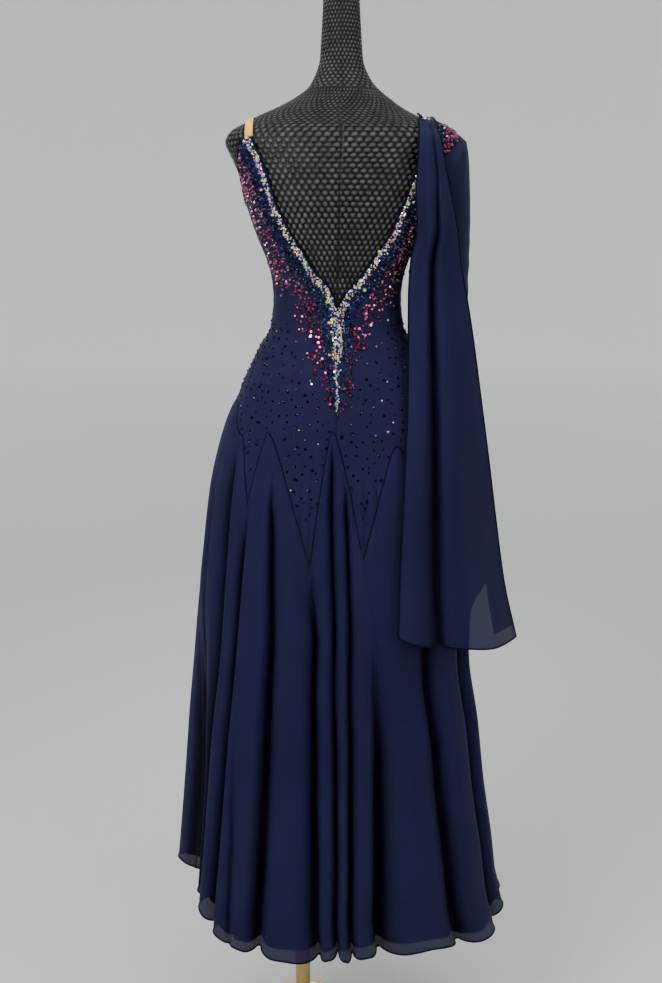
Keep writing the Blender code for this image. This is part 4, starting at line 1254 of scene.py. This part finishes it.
class DressFloat(bpy.types.Operator):
    """Make the two layers of the chiffon float and their rolled hems"""

    bl_idname = "dress.make_float"
    bl_label = "Float"

    def execute(self, context):
        last = len(FLOAT_EDGES) - 1
        paths = []
        levels = [np.linspace(last, NEAR_HEM, 40), np.linspace(NEAR_HEM, 0, 126)[1:]]
        levels = np.concatenate(levels)
        for name, left, inset, hem_rise in FLOAT_LAYERS:
            part, level = np.meshgrid(np.linspace(0, 1, 90), levels)
            if name == "float_inner":
                share = left + part * (np.interp(level, *INNER_CORNER.T) - left)
                behind = np.zeros_like(share)
            else:
                turned, low = np.meshgrid(np.linspace(0, 1, 16)[1:], levels)
                back = 1 - turned * (1 - np.interp(low, *TURNED_BACK.T))
                share = np.hstack([part, back])
                behind = np.hstack([0 * part, ease_in(turned * 4)])
                level = np.hstack([level, low * (1 - TURNED_SHORTER / last)])
            points, depth = float_points(share, level, inset + TURNED_BEHIND * behind, hem_rise)
            edges = points[:, : part.shape[1]]
            points, depth = points[:, ::-1], depth[:, ::-1]
            layer = add_grid(name, points, finish("navy_chiffon"))
            # The cloth in the float's deep fold gets painted shade.
            add_painted_fold_shade(layer, 1.6 * depth)
            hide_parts("shoulder_float")
            border = np.concatenate([edges[::-1, -1], edges[0, -2:0:-1], edges[:, 0]])
            outward = np.broadcast_to((0.0, 1.0, 0.0), border.shape)
            paths.append((border, outward, False))
        hem = add_hem("float_rolled_hem", paths)
        return {"FINISHED"}


# Stones


def scatter(rng, low, high, spacing, jitter):
    """Angles and heights of stones all round the body between two heights: staggered rows, spacing
    apart along the surface, each stone moved by a random part of the spacing."""
    angles, levels = [], []
    for number, z in enumerate(np.arange(low, high, spacing * 0.87)):
        run = section_point(BODY_SECTIONS, np.linspace(0, 360, 121), np.full(121, z))
        count = int(np.linalg.norm(np.diff(run, axis=0), axis=1).sum() / spacing)
        angles.append(360 * (np.arange(count) + 0.25 + 0.5 * (number % 2)) / count)
        levels.append(np.full(count, z))
    angle, z = np.concatenate(angles), np.concatenate(levels)
    angle = angle + rng.normal(0, jitter, len(angle)) * np.degrees(spacing / 0.1)
    return angle, z + rng.normal(0, jitter, len(z)) * spacing


def from_neckline(angle, z):
    """The straight distance to the nearest place on a neckline, or on the drop below its point,
    where it is divided by the width that the bands have there."""
    places = section_point(BODY_SECTIONS, angle, z)
    back = np.concatenate([NECK_LEFT[::-1], NECK_RIGHT[1:]])
    front = np.concatenate([NECK_FRONT_RIGHT[::-1], NECK_FRONT_LEFT[1:]])
    nearest = np.full(len(places), np.inf)
    for table, last_width in ((back, 1.0), (front, 1.0), (DROP_LINE, DROP_TIP)):
        row = np.linspace(0, len(table) - 1, 100)
        level, turn = (np.interp(row, np.arange(len(table)), table[:, k]) for k in (0, 1))
        line = section_point(BODY_SECTIONS, turn, level)
        for spot, width in zip(line, np.linspace(1.0, last_width, len(line))):
            nearest = np.minimum(nearest, np.linalg.norm(places - spot, axis=1) / width)
    return nearest


def neck_band(rng, band):
    """Stones in a band beside the necklines. They thin out across it by a share of the way."""
    start, end, thinning, spacing, jitter = band
    angle, z = scatter(rng, YOKE_LOW, SHOULDER_TOP, spacing, jitter)
    way = (from_neckline(angle, z) - start) / (end - start)
    kept = (way >= 0) & (way < 1) & (rng.random(len(z)) < 1 - thinning * way)
    return angle[kept], z[kept]


def clear_of_edges(angle, z, from_neck):
    """The places above the yoke's lower edge and far enough from the necklines."""
    kept = (z > yoke_edge_height(angle) + ABOVE_EDGE) & (from_neckline(angle, z) > from_neck)
    return angle[kept], z[kept]


def on_cloth(angle, z):
    """Which places lie on the bodice, at least a stone's width inside its open edges."""
    angle = np.mod(angle, 360)
    kept = np.zeros(len(angle), bool)
    for _, _, (start, end), top, left, right in PANELS:
        here = (angle >= start) & (angle < end) & (z < top)
        low = left(z) + EDGE_KEPT * (left(z) != start)
        high = right(z) - EDGE_KEPT * (right(z) != end)
        kept |= here & (angle > low) & (angle < high)
    return kept


def add_stones(
    name, rng, angle, z, radius, colours, finish_name, sides=8, height=0.7, painted_glints=0.08
):
    """Flat-backed stones in one piece: a ring of facets from the girdle up to a smaller table. Each
    facet's colour is made lighter or darker at random, painted highlight and shade, and some facets
    are painted as near-white glints."""
    kept = on_cloth(angle, z)
    angle, z, radius, colours = angle[kept], z[kept], radius[kept], colours[kept]
    centre, normal = off_body(angle, z, bodice_lift(angle, z))
    count = len(centre)
    tilt = normal + rng.normal(0, 0.10, normal.shape)
    normal = tilt / np.linalg.norm(tilt, axis=1, keepdims=True)
    aside = np.cross(normal, (0.0, 0.0, 1.0))
    aside = aside / np.linalg.norm(aside, axis=1, keepdims=True)
    other = np.cross(normal, aside)
    turn = np.linspace(0, 2 * np.pi, sides, endpoint=False) + rng.uniform(0, 1, (count, 1))
    ring = aside[:, None] * np.cos(turn)[..., None] + other[:, None] * np.sin(turn)[..., None]
    wide = radius[:, None, None]
    low = centre[:, None] + wide * ring
    high = centre[:, None] + TABLE_WIDTH * wide * ring + height * wide * normal[:, None]
    points = np.concatenate([low, high], axis=1).reshape(-1, 3)
    first = np.arange(count)[:, None] * 2 * sides
    here, after = np.arange(sides), (np.arange(sides) + 1) % sides
    crown = np.stack([here, after, after + sides, here + sides], -1)[None] + first[..., None]
    table, back = first + here + sides, first + here[::-1]
    # Painted light: each facet is made lighter or darker at random, and some are painted as
    # near-white glints.
    painted_facet_light = rng.uniform(0.45, 1.45, (count, sides + 2))
    painted_glint = rng.random((count, sides + 2)) < painted_glints
    facet = colours[:, None] * painted_facet_light[..., None]
    facet = np.where(painted_glint[..., None], 0.35 + 0.65 * facet, facet)
    facet = np.clip(facet, 0, 1)
    facet = np.concatenate([facet, np.ones((*facet.shape[:2], 1))], axis=2)
    corners = [np.repeat(facet[:, :sides], 4, axis=1).reshape(-1, 4)]
    corners += [np.repeat(facet[:, side], sides, axis=0) for side in (sides, sides + 1)]
    faces, colours = [crown.reshape(-1, 4), table, back], np.concatenate(corners)
    made = finish(finish_name)
    piece = add_piece(name, points, faces, made, colours=colours, smooth=False)
    return piece


def picked(rng, names, count):
    """Random stone colours, each name as often as the number with it says."""
    weights = np.array(list(names.values()), float)
    palette = np.array([STONE_COLOURS[name] for name in names])
    return palette[rng.choice(len(palette), count, p=weights / weights.sum())]


def sizes(rng, count, middle, spread):
    return middle * np.clip(rng.normal(1, spread, count), 0.6, 1.6)


class DressStones(bpy.types.Operator):
    """Set the stones and beads: graded bands along the necklines, and a scatter on the yoke"""

    bl_idname = "dress.make_stones"
    bl_label = "Stones"

    def execute(self, context):
        size = context.scene.dress_settings.stone_size
        rng = np.random.default_rng(8)

        angle, z = neck_band(rng, RUBY_BAND)
        radius = sizes(rng, len(z), size * 1.35, 0.22)
        colours = picked(rng, {"ruby": 16, "rose": 8, "jet": 3}, len(z))
        add_stones("stones_ruby", rng, angle, z, radius, colours, "foiled_stones", painted_glints=0.05)

        angle, z = neck_band(rng, BEAD_BAND)
        radius = sizes(rng, len(z), 0.0014, 0.15)
        # Some seed beads take the lighter grey-blue as a painted highlight.
        colours = picked(rng, {"jet": 8, "ink": 4, "painted_highlight_blue": 3, "sapphire": 1}, len(z))
        look = {"sides": 6, "height": 1.1, "painted_glints": 0.02}
        add_stones("beads_seed", rng, angle, z, radius, colours, "glass_beads", **look)

        small = neck_band(rng, AURORA_BAND)
        large = neck_band(rng, LARGE_BAND)
        angle, z = (np.concatenate(pair) for pair in zip(small, large))
        radius = [sizes(rng, len(small[0]), size * 0.95, 0.2)]
        radius = np.append(radius, sizes(rng, len(large[0]), size * 1.5, 0.2))
        colours = picked(rng, AURORA_MIX, len(z))
        add_stones("stones_aurora", rng, angle, z, radius, colours, "foiled_stones")

        places = scatter(rng, YOKE_LOW, YOKE_HIGH, STUD_SPACING, STUD_JITTER)
        angle, z = clear_of_edges(*places, RUBY_BAND[1])
        radius = sizes(rng, len(z), SMALL_STONE, 0.15)
        colours = picked(rng, {"jet": 12, "ink": 1}, len(z))
        add_stones("studs_navy", rng, angle, z, radius, colours, "glass_beads", painted_glints=0.03)

        angle = rng.uniform(0, 360, SINGLE_STONES)
        z = rng.uniform(SINGLE_LOW, SINGLE_HIGH, SINGLE_STONES)
        angle, z = clear_of_edges(angle, z, SINGLE_CLEAR)
        radius = sizes(rng, len(z), size * 1.05, 0.18)
        colours = picked(rng, {"white": 4, "peach": 1, "blue": 1, "sapphire": 2}, len(z))
        add_stones("stones_single", rng, angle, z, radius, colours, "foiled_stones")
        return {"FINISHED"}


# The studio


def add_light(name, place, target, size, power, tint=(1.0, 1.0, 1.0)):
    light = bpy.data.lights.new(name, "AREA")
    light.shape = "RECTANGLE"
    light.size, light.size_y = size
    light.energy = power
    light.color = tint
    lamp = bpy.data.objects.new(name, light)
    direction = np.array(target, float) - np.array(place, float)
    flat = math.hypot(direction[0], direction[1])
    lamp.location = place
    lamp.rotation_euler = (
        math.pi / 2 + math.atan2(direction[2], flat),
        0.0,
        math.atan2(direction[1], direction[0]) - math.pi / 2,
    )
    lamp.visible_camera = False
    bpy.context.scene.collection.objects.link(lamp)


class DressStage(bpy.types.Operator):
    """Make the floor and its rounded backdrop, the soft lights and the camera"""

    bl_idname = "dress.make_stage"
    bl_label = "Stage"

    def execute(self, context):
        round_off = np.linspace(0, math.pi / 2, 14)
        profile = [(r, 0.0) for r in (0.02, 0.5, 1.2, 2.2, 3.2)]
        profile += [(3.2 + 1.6 * math.sin(a), 1.6 - 1.6 * math.cos(a)) for a in round_off[1:]]
        profile += [(4.8, 2.4), (4.8, 4.2)]
        profile = np.array(profile)
        points = turned_points(profile, 96)
        points[..., 2] -= 0.0005
        stage = add_grid("studio", points[:, ::-1], finish("studio_grey"), wrap=True, caps=True)
        add_light("key", (1.4, 2.1, 2.8), (-0.05, 0.0, 1.5), (1.3, 1.3), 72)
        add_light("fill", (-1.9, 2.0, 2.5), (-0.05, 0.0, 1.4), (1.6, 1.6), 20)
        add_light("top", (0.0, 0.3, 4.0), (0.0, 0.0, 0.0), (3.5, 3.5), 62)
        add_light("back", (0.0, -3.4, 2.6), (0.0, 0.0, 1.2), (2.5, 1.6), 26)
        world = context.scene.world or bpy.data.worlds.new("Studio")
        context.scene.world = world
        world.use_nodes = True
        sky = world.node_tree.nodes["Background"]
        sky.inputs["Color"].default_value = (0.95, 0.97, 1.0, 1.0)
        sky.inputs["Strength"].default_value = 0.24
        camera = bpy.data.cameras.new("Camera")
        camera.sensor_width = 36.0
        camera.lens = 36.62
        camera.clip_start = 0.05
        shot = bpy.data.objects.new("Camera", camera)
        shot.location = (-0.0538, 1.70, 1.43)
        shot.rotation_euler = (math.radians(90 - 11.6), 0.0, math.radians(180))
        context.scene.collection.objects.link(shot)
        context.scene.camera = shot
        return {"FINISHED"}


STEPS = (
    DressStage,
    DressFormCover,
    DressStand,
    DressBodice,
    DressBindings,
    DressStrap,
    DressSleeve,
    DressSkirt,
    DressLining,
    DressFloat,
    DressStones,
)


class DressPanel(bpy.types.Panel):
    bl_idname = "DRESS_PT_sidebar"
    bl_label = "Ballroom dress"
    bl_space_type = "VIEW_3D"
    bl_region_type = "UI"
    bl_category = "Dress"

    def draw(self, context):
        settings = context.scene.dress_settings
        for step in STEPS:
            self.layout.operator(step.bl_idname)
        for name in DressSettings.__annotations__:
            self.layout.prop(settings, name)


CLASSES = (DressSettings, *STEPS, DressPanel)


def register():
    for item in CLASSES:
        bpy.utils.register_class(item)
    bpy.types.Scene.dress_settings = PointerProperty(type=DressSettings)


def unregister():
    del bpy.types.Scene.dress_settings
    for item in reversed(CLASSES):
        bpy.utils.unregister_class(item)


def main():
    register()
    for step in STEPS:
        getattr(bpy.ops.dress, step.bl_idname.split(".")[1])()


if __name__ == "__main__":
    main()
